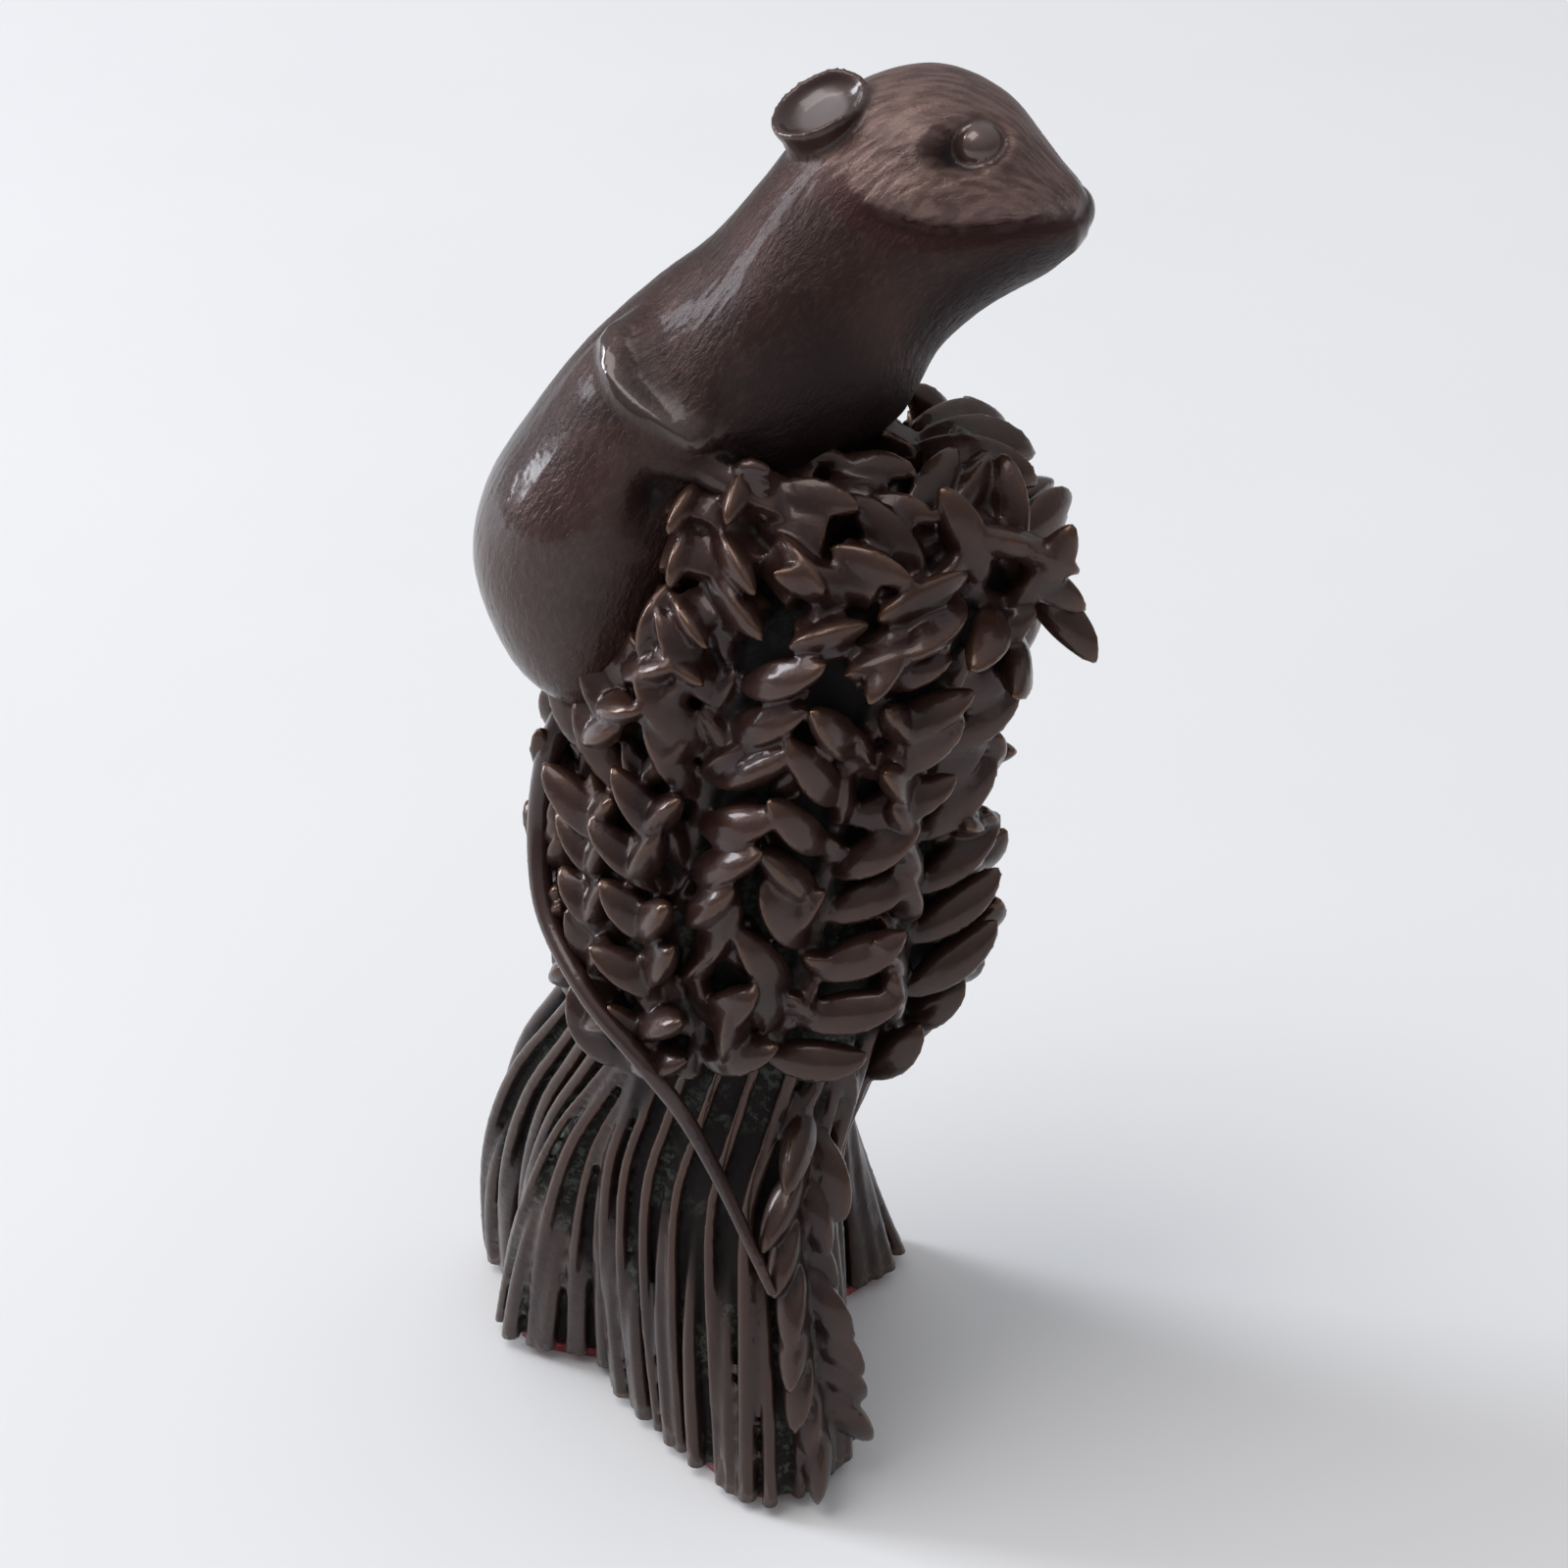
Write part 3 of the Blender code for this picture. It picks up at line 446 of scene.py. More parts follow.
def add_husk(bm, base, along, out, crest, size, rng):
    """One husk: a pod standing on edge, keeled along its crest and blunt at its tip."""
    side = np.cross(along, out)
    length = HUSK_LENGTH * size * rng.uniform(0.92, 1.06)
    left = 1 + crest
    right = 1 - crest
    section = (
        (-0.85, -0.1), (-1.0, 0.15), (crest - 0.65 * left, 0.66), (crest - 0.25 * left, 0.91),
        (crest, 1.0), (crest + 0.3 * right, 0.86), (crest + 0.75 * right, 0.56), (1.0, 0.15),
        (0.85, -0.1), (0.5, -0.35), (-0.5, -0.35),
    )
    rings = []
    for t in np.linspace(0.015, 0.985, 13):
        middle = base + along * length * t + out * length * 0.06 * (t * t - 0.5)
        wide = HUSK_WIDTH / 2 * size * math.sin(math.pi * t**0.95) ** 0.68
        deep = HUSK_DEPTH * size * math.sin(math.pi * t**1.05) ** 0.55
        rings.append([middle + side * wide * x + out * deep * y for x, y in section])
    loft(bm, rings)


def grow_husk(bm, angle, height, heading, sideways, size, rng, proud, tilt, lean=(0.12, 0.40)):
    """A husk on the core, pointing along a heading, rolled over sideways by a tilt."""
    normal = core_normal(angle, height)
    base = core_point(angle, height, proud) + sideways * 0.1 * HUSK_WIDTH
    along = unit(heading + normal * rng.uniform(*lean))
    out = normal + sideways * tilt
    out = unit(out - along * (out @ along))
    crest = rng.uniform(0.05, 0.55) * (1 if np.cross(along, out) @ sideways > 0 else -1)
    add_husk(bm, base, along, out, crest, size, rng)


def add_ear(bm, knots, seed, lift=0.0, size=1.0, spread=(35, 50), lean=(0.10, 0.36)):
    """Two rows of husks spread like a herringbone along a rib, lifted off the core."""
    rng = np.random.default_rng(seed)
    knots = smooth_curve(knots, 60)
    rib = np.array([core_point(a, h * UNIT, lift / 2) for a, h in knots])
    tube(bm, rib[::4], np.full(len(rib[::4]), RIB_RADIUS + lift / 2), 10)
    run = np.concatenate([[0], np.cumsum(np.linalg.norm(np.diff(rib, axis=0), axis=1))])
    ways = unit(np.gradient(rib, axis=0))
    pitch = 0.46 * HUSK_LENGTH * size
    for k in range(2 * max(2, int(run[-1] / pitch))):
        hand = 1 if k % 2 else -1
        where = (k / 2 + rng.uniform(-0.08, 0.08)) * pitch
        angle = np.interp(where, run, knots[:, 0])
        height = np.interp(where, run, knots[:, 1]) * UNIT
        normal = core_normal(angle, height)
        forward = np.array([np.interp(where, run, ways[:, axis]) for axis in range(3)])
        forward = unit(forward - normal * (forward @ normal))
        sideways = np.cross(forward, normal) * hand
        turn = math.radians(rng.uniform(*spread))
        heading = forward * math.cos(turn) + sideways * math.sin(turn)
        grow_husk(bm, angle, height, heading, sideways, size, rng,
                  lift + rng.uniform(0.3, 1.0) * UNIT, rng.uniform(-0.1, 0.6), lean)


def add_foot_husks(bm):
    """Single husks that the mouse rests on, each on a bed that joins it to the core."""
    rng = np.random.default_rng(5)
    for angle, height, to_angle, to_height, lift in FOOT_HUSKS:
        bed = np.array([
            core_point(angle + (to_angle - angle) * t, (height + (to_height - height) * t) * UNIT,
                       lift * UNIT / 2)
            for t in (0.1, 0.3, 0.5, 0.7)
        ])
        tube(bm, bed, np.full(4, (lift / 2 + 0.1) * UNIT), 12)
        base = core_point(angle, height * UNIT, lift * UNIT)
        reach = core_point(to_angle, to_height * UNIT, lift * UNIT) - base
        normal = core_normal((angle + to_angle) / 2, (height + to_height) / 2 * UNIT)
        along = unit(reach)
        out = unit(normal - along * (along @ normal))
        size = max(0.62, np.linalg.norm(reach) / HUSK_LENGTH)
        add_husk(bm, base, along, out, rng.uniform(-0.6, -0.1), size, rng)


def add_filler(bm):
    """Loose husks all over the core, low between the ears."""
    rng = np.random.default_rng(7)
    top = SHOULDER + SHOULDER_RADIUS * math.pi / 2
    for row, height in enumerate(np.arange(48.0 * UNIT, top, FILLER_PITCH)):
        count = int(girth(height) / FILLER_PITCH)
        for angle in even_angles(height, count) + 180.0 / count * (row % 2):
            normal = core_normal(angle, height)
            upward = unit(core_point(angle, height + UNIT) - core_point(angle, height))
            across = np.cross(upward, normal)
            turn = math.radians(rng.uniform(-50, 50))
            heading = upward * math.cos(turn) + across * math.sin(turn)
            sideways = np.cross(heading, normal)
            grow_husk(bm, angle, height, heading, sideways, 0.85, rng,
                      rng.uniform(-1.6, -0.6) * UNIT, rng.uniform(-0.5, 0.5))


def add_sheaf(bm):
    add_core(bm)
    add_stalks(bm)
    add_filler(bm)
    for seed, knots in enumerate(FRONT_EARS):
        add_ear(bm, knots, seed)
    for seed, (knots, lift) in enumerate(CROWN_EARS):
        add_ear(bm, knots, 60 + seed, lift, 0.88, lean=(0.0, 0.15))
    add_foot_husks(bm)
    add_ear(bm, HANGING_EAR, 19, 0.0, 0.92, (16, 26), (0.0, 0.16))
    for k in range(BACK_EARS):
        angle = 82 + k * 182 / (BACK_EARS - 1)
        low = 46 + 4 * (k % 2)
        add_ear(bm, ((angle, low), (angle + 7, 58), (angle - 3, 69), (angle + 5, 81)), 20 + k)
    for k in range(TOP_EARS):
        start = 66 + k * 52
        add_ear(bm, ((start, 88), (start + 24, 92), (start + 50, 90)), 40 + k, lean=(0.05, 0.25))
        add_ear(bm, ((start + 10, 96), (start + 40, 97), (start + 68, 95)), 50 + k, size=0.85,
                lean=(-0.1, 0.1))


def turn_head(points):
    """Lean and turn the points of the head about its centre, growing along the neck."""
    points = np.array(points, float)
    share = np.prod(smoothstep(HEAD_FROM, HEAD_TO, points[:, (0, 2)]), axis=1)
    lean = np.radians(HEAD_LEAN) * share
    turn = np.radians(HEAD_TURN) * share
    x, y, z = (points - HEAD_CENTRE).T
    y, z = y * np.cos(lean) + z * np.sin(lean), z * np.cos(lean) - y * np.sin(lean)
    x, y = x * np.cos(turn) + y * np.sin(turn), y * np.cos(turn) - x * np.sin(turn)
    return np.stack([x, y, z], axis=1) + HEAD_CENTRE


def nearest(line, x, z):
    """How far each point is from a line, how far along it, and on which side."""
    gaps = np.hypot(x[:, None] - line[:, 0], z[:, None] - line[:, 1])
    k = np.argmin(gaps, axis=1)
    way = np.gradient(line, axis=0)[k]
    left = way[:, 0] * (z - line[k, 1]) - way[:, 1] * (x - line[k, 0])
    return gaps[np.arange(len(k)), k], k / (len(line) - 1), left


def face_relief(x, y, z):
    """How far the eye sockets, their lids, the mouth and the cheeks rise from the skin."""
    s = (x - EYE[0]) * math.cos(EYE_SLANT) + (z - EYE[2]) * math.sin(EYE_SLANT)
    t = (z - EYE[2]) * math.cos(EYE_SLANT) - (x - EYE[0]) * math.sin(EYE_SLANT)
    away = np.sqrt((s / EYE_LONG) ** 2 + (t / EYE_TALL) ** 2)
    eye = LID_HEIGHT * np.exp(-(((away - 1.15) / 0.16) ** 2))
    eye = eye - SOCKET_DEPTH * smoothstep(1.05, 0.60, away)
    gap, share, left = nearest(smooth_curve(MOUTH, 80), x, z)
    fade = smoothstep(1.0, 0.75, share)
    mouth = CHEEK_HEIGHT * np.exp(-(((gap - CHEEK_WIDTH) / CHEEK_WIDTH) ** 2)) * (left < 0)
    mouth = (mouth - MOUTH_DEPTH * np.exp(-((gap / MOUTH_WIDTH) ** 2))) * fade
    return eye * (y > 3.0 * UNIT) + mouth * smoothstep(0.5 * UNIT, 1.5 * UNIT, y)


def haunch_relief(x, y, z):
    """The haunch: a rib along its front edge, a swelling behind it and a hollow under it."""
    view = z * math.cos(VIEW_RISE) - y * math.sin(VIEW_RISE)
    gap, share, left = nearest(smooth_curve(HAUNCH, 80), x, view)
    rib = np.exp(-((gap / HAUNCH_RIB) ** 2))
    swelling = np.exp(-((gap / np.where(left > 0, HAUNCH_FRONT, HAUNCH_BACK)) ** 2))
    ends = smoothstep(0.0, 0.40, share) * smoothstep(1.0, 0.85, share)
    relief = HAUNCH_HEIGHT * (0.42 * rib + 0.58 * swelling) * ends
    away = ((x - HOLLOW[0]) / HOLLOW_RADII[0]) ** 2 + ((view - HOLLOW[1]) / HOLLOW_RADII[1]) ** 2
    return (relief - HOLLOW_DEPTH * np.exp(-away)) * smoothstep(-0.3 * UNIT, 3.0 * UNIT, y)


def body_ring(row, turns):
    """A section of the mouse's body before the head turns, and its centre."""
    back_x, back_z, belly_x, belly_z, half_width = row
    centre = np.array(((back_x + belly_x) / 2, 0.0, (back_z + belly_z) / 2))
    rise = np.array(((back_x - belly_x) / 2, 0.0, (back_z - belly_z) / 2))
    ring = centre + np.cos(turns)[:, None] * rise
    ring[:, 1] = half_width * np.sin(turns)
    return ring, centre


def add_mouse_body(bm):
    turns = around(80)
    rings = []
    for row in smooth_curve(MOUSE_PROFILE, 120):
        ring, centre = body_ring(row, turns)
        x, y, z = ring.T
        shown = np.where(y < 0, smoothstep(*NEAR_FLANK, -y), smoothstep(*FAR_FLANK, y))
        relief = face_relief(x, np.abs(y), z) + haunch_relief(x, np.abs(y), z) * shown
        ring = ring + unit(ring - centre) * relief[:, None]
        rings.append(turn_head(ring))
    loft(bm, rings)


def add_eyes(bm):
    for hand in (-1, 1):
        centre = turn_head([(EYE + EYE_SINK) * (1, hand, 1)])[0]
        ball(bm, centre, np.full(3, EYE_DIAMETER / 2), 20, 28)


def add_mouse_ears(bm):
    """Each ear is a shallow cup with a rolled rim that melts into the head."""
    rows = ((1.30, -1.90), (1.10, -1.20), (0.99, -0.70), (0.97, -0.35), (1.03, 0.00), (0.99, 0.13),
            (0.88, 0.08), (0.77, -0.06), (0.48, -0.20), (0.10, -0.24))
    for hand in (-1, 1):
        axis = unit(EAR_AXIS * (1, hand, 1))
        across = unit(np.cross(axis, (0.0, hand, 0.2)))
        other = 0.86 * np.cross(axis, across)
        centre = EAR_CENTRE * (1, hand, 1) + (hand > 0) * FAR_EAR_SHIFT
        headward = unit(HEAD_CENTRE - centre)
        rings = []
        for radius, rise in rows:
            ring = []
            for a in around(28):
                spoke = across * math.cos(a) + other * math.sin(a)
                sink = EAR_SINK * smoothstep(0.1, 0.7, spoke @ headward) * radius**2
                ring.append(centre + EAR_RADIUS * (axis * (rise - sink) + radius * spoke))
            rings.append(turn_head(ring))
        loft(bm, rings)


def add_feet(bm):
    """The hind feet come out of the haunches and grip the husks with curled toes."""
    for hand in (-1, 1):
        path = smooth_curve(FOOT, 24)
        line = path[:, :3] * (1, hand, 1) + (hand > 0) * FAR_FOOT_SHIFT
        tube(bm, line, path[:, 3], 20)
        for splay in np.linspace(-1.5, 1.5, TOES):
            start = line[-3] + UNIT * np.array((0.0, 0.0, 0.5 * splay))
            middle = start + UNIT * np.array((1.7, 0.9 * hand, 0.5 * splay + 0.4))
            end = middle + UNIT * np.array((1.3, 0.2 * hand, 0.4 * splay - 1.3))
            radii = UNIT * np.array((0.75, 0.72, 0.85, 0.66, 0.60, 0.66, 0.35))
            tube(bm, smooth_curve((start, middle, end), 7), radii, 8)


def add_tail(bm):
    knots = [core_point(a, h * UNIT, p * UNIT) for a, h, p in TAIL]
    path = smooth_curve([TAIL_ROOT] + knots, 70)
    share = np.linspace(0, 1, len(path))
    tube(bm, path, TAIL_DIAMETER / 2 * (1.0 - 0.62 * share**1.3), 12)


def add_mouse(bm):
    add_mouse_body(bm)
    add_eyes(bm)
    add_mouse_ears(bm)
    add_feet(bm)
    ball(bm, turn_head([NOSE])[0], NOSE_RADII)
    add_tail(bm)


def new_object(name, bm):
    bmesh.ops.recalc_face_normals(bm, faces=bm.faces)
    mesh = bpy.data.meshes.new(name)
    bm.to_mesh(mesh)
    bm.free()
    item = bpy.data.objects.new(name, mesh)
    bpy.context.scene.collection.objects.link(item)
    return item


def apply_modifiers(item):
    """Bake the modifiers into the object's own mesh."""
    graph = bpy.context.evaluated_depsgraph_get()
    mesh = bpy.data.meshes.new_from_object(item.evaluated_get(graph))
    item.modifiers.clear()
    item.data = mesh


def skin(item, voxel):
    """Fuse all that overlaps into one skin, and soften it a little as wax would be."""
    remesh = item.modifiers.new("Remesh", "REMESH")
    remesh.mode = "VOXEL"
    remesh.voxel_size = voxel
    soften = item.modifiers.new("Smooth", "SMOOTH")
    soften.factor = 0.5
    soften.iterations = 2
    apply_modifiers(item)


def keep_largest_shell(item):
    """Drop sealed pockets and loose scraps, so that one closed shell is left."""
    bm = bmesh.new()
    bm.from_mesh(item.data)
    unseen = set(bm.verts)
    shells = []
    while unseen:
        stack = [unseen.pop()]
        shell = list(stack)
        while stack:
            for edge in stack.pop().link_edges:
                for vert in edge.verts:
                    if vert in unseen:
                        unseen.remove(vert)
                        stack.append(vert)
                        shell.append(vert)
        shells.append(shell)
    shells.sort(key=len)
    for shell in shells[:-1]:
        bmesh.ops.delete(bm, geom=shell, context="VERTS")
    bm.to_mesh(item.data)
    bm.free()


def cut_flat(item, height):
    """Saw the piece off level at its foot."""
    bm = bmesh.new()
    bm.from_mesh(item.data)
    geometry = bm.verts[:] + bm.edges[:] + bm.faces[:]
    cut = bmesh.ops.bisect_plane(
        bm, geom=geometry, dist=1e-7, plane_co=(0, 0, height), plane_no=(0, 0, 1), clear_inner=True
    )
    edges = [e for e in cut["geom_cut"] if isinstance(e, bmesh.types.BMEdge)]
    bmesh.ops.triangle_fill(bm, edges=edges, use_dissolve=False)
    bmesh.ops.recalc_face_normals(bm, faces=bm.faces)
    bm.to_mesh(item.data)
    bm.free()


def thin_out(item, triangles):
    """Collapse the flattest edges until so many triangles are left."""
    faces = sum(len(p.vertices) - 2 for p in item.data.polygons)
    decimate = item.modifiers.new("Decimate", "DECIMATE")
    decimate.ratio = min(1.0, triangles / faces)
    decimate.use_collapse_triangulate = True
    apply_modifiers(item)


def vertex_arrays(item):
    """Vertices, their normals and the edges' ends of a mesh, as arrays."""
    mesh = item.data
    points = np.empty(len(mesh.vertices) * 3)
    mesh.vertices.foreach_get("co", points)
    normals = np.empty(len(mesh.vertices) * 3)
    mesh.vertex_normals.foreach_get("vector", normals)
    edges = np.empty(len(mesh.edges) * 2, dtype=np.int64)
    mesh.edges.foreach_get("vertices", edges)
    return points.reshape(-1, 3), normals.reshape(-1, 3), edges.reshape(-1, 2)


def blurred(values, edges, rounds):
    """Each value averaged with its neighbours' along the edges, so many times."""
    one, two = edges.T
    count = np.bincount(one, minlength=len(values)) + np.bincount(two, minlength=len(values))
    count = np.maximum(count, 1)[:, None]
    for _ in range(rounds):
        total = np.zeros_like(values)
        for axis in range(values.shape[1]):
            column = values[:, axis]
            total[:, axis] = np.bincount(one, column[two], len(values))
            total[:, axis] += np.bincount(two, column[one], len(values))
        values = 0.5 * values + 0.5 * total / count
    return values


def store(item, name, values):
    """Keep one number, or three, for each vertex under a name that the material reads."""
    values = np.asarray(values, np.float32)
    if values.ndim == 1:
        layer = item.data.attributes.new(name, "FLOAT", "POINT")
        layer.data.foreach_set("value", values)
    else:
        layer = item.data.attributes.new(name, "FLOAT_VECTOR", "POINT")
        layer.data.foreach_set("vector", values.ravel())


# Rounds of blurring for the near and the far surroundings, and the relief that counts as one
NEAR_ROUNDS = 12
FAR_ROUNDS = 160
EDGE_RELIEF = 0.00012
HOLLOW_RELIEF = 0.0010


def mark_relief(item):
    """Store how far each point stands out from its surroundings, near by and far off."""
    points, normals, edges = vertex_arrays(item)
    near = blurred(points, edges, NEAR_ROUNDS)
    far = blurred(near, edges, FAR_ROUNDS)
    store(item, "edge", ((points - near) * normals).sum(axis=1) / EDGE_RELIEF)
    # How far a point lies down in a hollow; the material paints hollows dark, as patina and painted
    # shade
    store(item, "hollow", ((far - points) * normals).sum(axis=1) / HOLLOW_RELIEF)


def mark_depth(item):
    """Store how near each point lies to the sheaf's core, down between the husks and stalks."""
    bm = bmesh.new()
    add_core(bm)
    core = BVHTree.FromBMesh(bm)
    bm.free()
    points = vertex_arrays(item)[0]
    away = np.array([core.find_nearest(Vector(point))[3] for point in points])
    # Points near the core are painted dark in the material, as patina and painted shade
    store(item, "deep", smoothstep(1.7, 0.2, away / UNIT))


def raise_points(item, heights):
    """Move each point along its normal."""
    points, normals, _ = vertex_arrays(item)
    item.data.vertices.foreach_set("co", (points + normals * heights[:, None]).ravel())
    item.data.update()


def keep_inside(item):
    """Hold every vertex inside the CAD model's box and above the felt."""
    points = vertex_arrays(item)[0]
    low = np.array((CAD_LOW[0], CAD_LOW[1], BASE))
    item.data.vertices.foreach_set("co", np.clip(points, low, CAD_HIGH).ravel())
    item.data.update()


def mouse_flow():
    """The mouse's skin: points, and for each how far along and round the body, and its x, z
    before the head turns."""
    profile = smooth_curve(MOUSE_PROFILE, 160)
    middle = (profile[:, 0:2] + profile[:, 2:4]) / 2
    run = np.concatenate([[0], np.cumsum(np.linalg.norm(np.diff(middle, axis=0), axis=1))])
    turns = around(96)
    points = []
    flows = []
    for k, row in enumerate(profile):
        ring = body_ring(row, turns)[0]
        points.append(turn_head(ring))
        flows.append(np.stack([np.full(len(turns), run[k]), np.cos(turns), np.sin(turns),
                               ring[:, 0], ring[:, 2]], axis=1))
    return np.vstack(points), np.vstack(flows)


# Where the pale fur's edge runs on from the mouth to the ear (x, z)
PALE_TO = UNIT * np.array(((12.8, 120.3), (11.2, 122.2), (9.9, 124.2)))

# The body's mean radius, by which an angle round it becomes a length
BODY_RADIUS = 0.0105

# The tufts of fur: length, width and sway, and how far they stand up on the body and the face
TUFT_LENGTH = 1.9 * UNIT
TUFT_WIDTH = 0.58 * UNIT
TUFT_SWAY = 0.5 * UNIT
TUFT_BODY = 0.030 * UNIT
TUFT_FACE = 0.075 * UNIT


def tuft_heights(run, across):
    """How high the tufts rise at each point of the skin's own map, from about -1 to 1."""
    heights = np.empty(len(run))
    for k, (u, v) in enumerate(zip(run, across)):
        place = Vector((u, v, 0.0))
        v += TUFT_SWAY * noise_value(place / (2.5 * TUFT_LENGTH))
        coarse = noise_value(Vector((u / TUFT_LENGTH, v / TUFT_WIDTH, 3.0)))
        fine = noise_value(Vector((1.9 * u / TUFT_LENGTH, 1.7 * v / TUFT_WIDTH, 9.0)))
        heights[k] = 1.3 * coarse + 0.5 * fine
    return heights


def near_points(points, centres, radius):
    """One inside a radius of any of the centres, fading to nothing a fifth further out."""
    share = np.zeros(len(points))
    for centre in centres:
        away = np.linalg.norm(points - centre, axis=1) / radius
        share = np.maximum(share, smoothstep(1.2, 1.0, away))
    return share


def carry_flow(mesh_points):
    """The skin's flow at each point of the mesh, and how far off the skin that point is."""
    points, flows = mouse_flow()
    tree = kdtree.KDTree(len(points))
    for k, point in enumerate(points):
        tree.insert(point, k)
    tree.balance()
    flow = np.empty((len(mesh_points), 5))
    gap = np.empty(len(mesh_points))
    for k, point in enumerate(mesh_points):
        found = tree.find_n(point, 4)
        index = [f[1] for f in found]
        weight = np.array([1 / (f[2] + 1e-5) for f in found])
        flow[k] = weight @ flows[index] / weight.sum()
        gap[k] = found[0][2]
    return flow, gap


def mark_fur(item):
    """Raise the tufts, and store the fur's flow and where the mouse is bare, pale or red, and where
    shade is painted on it.
    """
    mesh_points = vertex_arrays(item)[0]
    flow, gap = carry_flow(mesh_points)
    turn = np.arctan2(flow[:, 2], flow[:, 1])
    across = turn * BODY_RADIUS
    store(item, "fur", np.stack([flow[:, 0], across, np.zeros(len(turn))], axis=1))
    run = flow[:, 0] / UNIT
    side = np.degrees(np.abs(turn))

    hands = np.array(((1, -1, 1), (1, 1, 1)))
    eyes = turn_head((EYE + EYE_SINK) * hands)
    ears = (EAR_CENTRE + 0.2 * EAR_RADIUS * EAR_AXIS) * hands
    ears = turn_head(ears + FAR_EAR_SHIFT * ((0,), (1,)))
    nose = near_points(mesh_points, turn_head([NOSE]), 1.12 * NOSE_RADII.max())
    balls = near_points(mesh_points, eyes, 0.51 * EYE_DIAMETER)
    bare = np.maximum(balls, nose)
    bare = np.maximum(bare, near_points(mesh_points, ears, 0.98 * EAR_RADIUS))
    bare = np.maximum(bare, smoothstep(1.4, 2.2, gap / UNIT))
    store(item, "bare", bare)
    line = np.vstack([MOUTH, PALE_TO])
    gap, share, left = nearest(smooth_curve(line, 120), flow[:, 3], flow[:, 4])
    above = np.where(left < 0, gap, -gap) / UNIT
    tufts = tuft_heights(flow[:, 0], across)
    store(item, "tuft", 0.5 + 0.5 * tufts)
    ragged = above + 0.7 * tufts
    pale = smoothstep(0.0, 0.9, ragged) * smoothstep(8.0, 3.5, above)
    pale = pale * smoothstep(20.0, 45.0, side)
    brow = smoothstep(49.0, 56.0, run) * smoothstep(85.0, 60.0, side)
    store(item, "cheek", np.maximum(pale, 0.95 * brow) * (1 - bare))
    rise = (TUFT_BODY + (TUFT_FACE - TUFT_BODY) * pale) * tufts * (1 - bare)
    raise_points(item, rise)
    # Painted shade: the lower flank and the throat are stored here to be painted darker, as shade
    flank = smoothstep(66.0, 104.0, side)
    flank = flank * smoothstep(15.0, 25.0, run) * smoothstep(50.0, 42.0, run)
    throat = smoothstep(122.0, 142.0, side) * smoothstep(42.0, 50.0, run)
    store(item, "shade", np.maximum(flank, throat) * (1 - bare))
    crease = smoothstep(1.6, 0.6, np.abs(above + 0.4)) * smoothstep(0.95, 0.7, share)
    store(item, "red", np.maximum(crease * (1 - bare), nose))

    # Wax shines on the rump and along the near haunch's rib
    rump = smoothstep(30.0, 16.0, run) * smoothstep(100.0, 70.0, side)
    beside = np.abs(mesh_points[:, 1])
    view = flow[:, 4] * math.cos(VIEW_RISE) - beside * math.sin(VIEW_RISE)
    gap, share, _ = nearest(smooth_curve(HAUNCH, 120), flow[:, 3], view)
    rib = smoothstep(1.8, 0.6, gap / UNIT) * smoothstep(0.02, 0.2, share)
    rib = rib * smoothstep(-1.0, -4.0, mesh_points[:, 1] / UNIT)
    store(item, "waxed", np.maximum(rump, rib))
    store(item, "ball", balls)
    # Painted sheen: the ear bowls are stored to be painted pale, as the lamp's reflection in them
    store(item, "bowl_sheen", near_points(mesh_points, ears, 0.60 * EAR_RADIUS))


def set_input(tree, socket, value):
    """Set a socket to a number or a colour, or link it to another node's output."""
    if isinstance(value, bpy.types.NodeSocket):
        tree.links.new(value, socket)
    else:
        socket.default_value = value


def node(tree, kind, **inputs):
    """A node in a material's or the world's tree. An input is named, or numbered as in i1."""
    made = tree.nodes.new(kind)
    for name, value in inputs.items():
        name = name.replace("_", " ")
        numbered = name[0] == "i" and name[1:].isdigit()
        set_input(tree, made.inputs[int(name[1:]) if numbered else name], value)
    return made


def level(tree, source, low, high):
    """A smooth 0 to 1 as the source goes from low to high."""
    made = node(tree, "ShaderNodeMapRange", Value=source)
    made.interpolation_type = "SMOOTHSTEP"
    made.inputs["From Min"].default_value = low
    made.inputs["From Max"].default_value = high
    return made.outputs["Result"]


def maths(tree, operation, one, two):
    made = tree.nodes.new("ShaderNodeMath")
    made.operation = operation
    for socket, value in zip(made.inputs, (one, two)):
        set_input(tree, socket, value)
    return made.outputs["Value"]


def times(tree, one, two):
    return maths(tree, "MULTIPLY", one, two)


def plus(tree, one, two):
    return maths(tree, "ADD", one, two)


def minus(tree, one, two):
    return maths(tree, "SUBTRACT", one, two)


def mixed(tree, factor, one, two):
    """Two colours mixed by a factor."""
    made = tree.nodes.new("ShaderNodeMix")
    made.data_type = "RGBA"
    sockets = (made.inputs["Factor"], made.inputs[6], made.inputs[7])
    for socket, value in zip(sockets, (factor, one, two)):
        set_input(tree, socket, (*value, 1.0) if isinstance(value, tuple) else value)
    return made.outputs[2]


def noise(tree, vector, scale, detail=3.0, roughness=0.55):
    made = node(tree, "ShaderNodeTexNoise", Vector=vector, Scale=scale, Detail=detail,
                Roughness=roughness)
    return made.outputs["Fac"]


def attribute(tree, name, output="Fac"):
    made = tree.nodes.new("ShaderNodeAttribute")
    made.attribute_name = name
    return made.outputs[output]


# The patina's colours, with painted shade in the hollows and on the mouse's flank and throat, and a
# painted sheen in its ear bowls
BROWN_DEEP = (0.024, 0.0095, 0.0090)
BROWN = (0.044, 0.0185, 0.0150)
BROWN_BLOTCH = (0.064, 0.032, 0.027)
TUFT_TIP = (0.100, 0.054, 0.042)
PALE_FUR = (0.205, 0.130, 0.112)
# A painted sheen for the inside of the ears
EAR_BOWL_PAINTED_SHEEN = (0.240, 0.200, 0.200)
EYEBALL = (0.110, 0.062, 0.048)
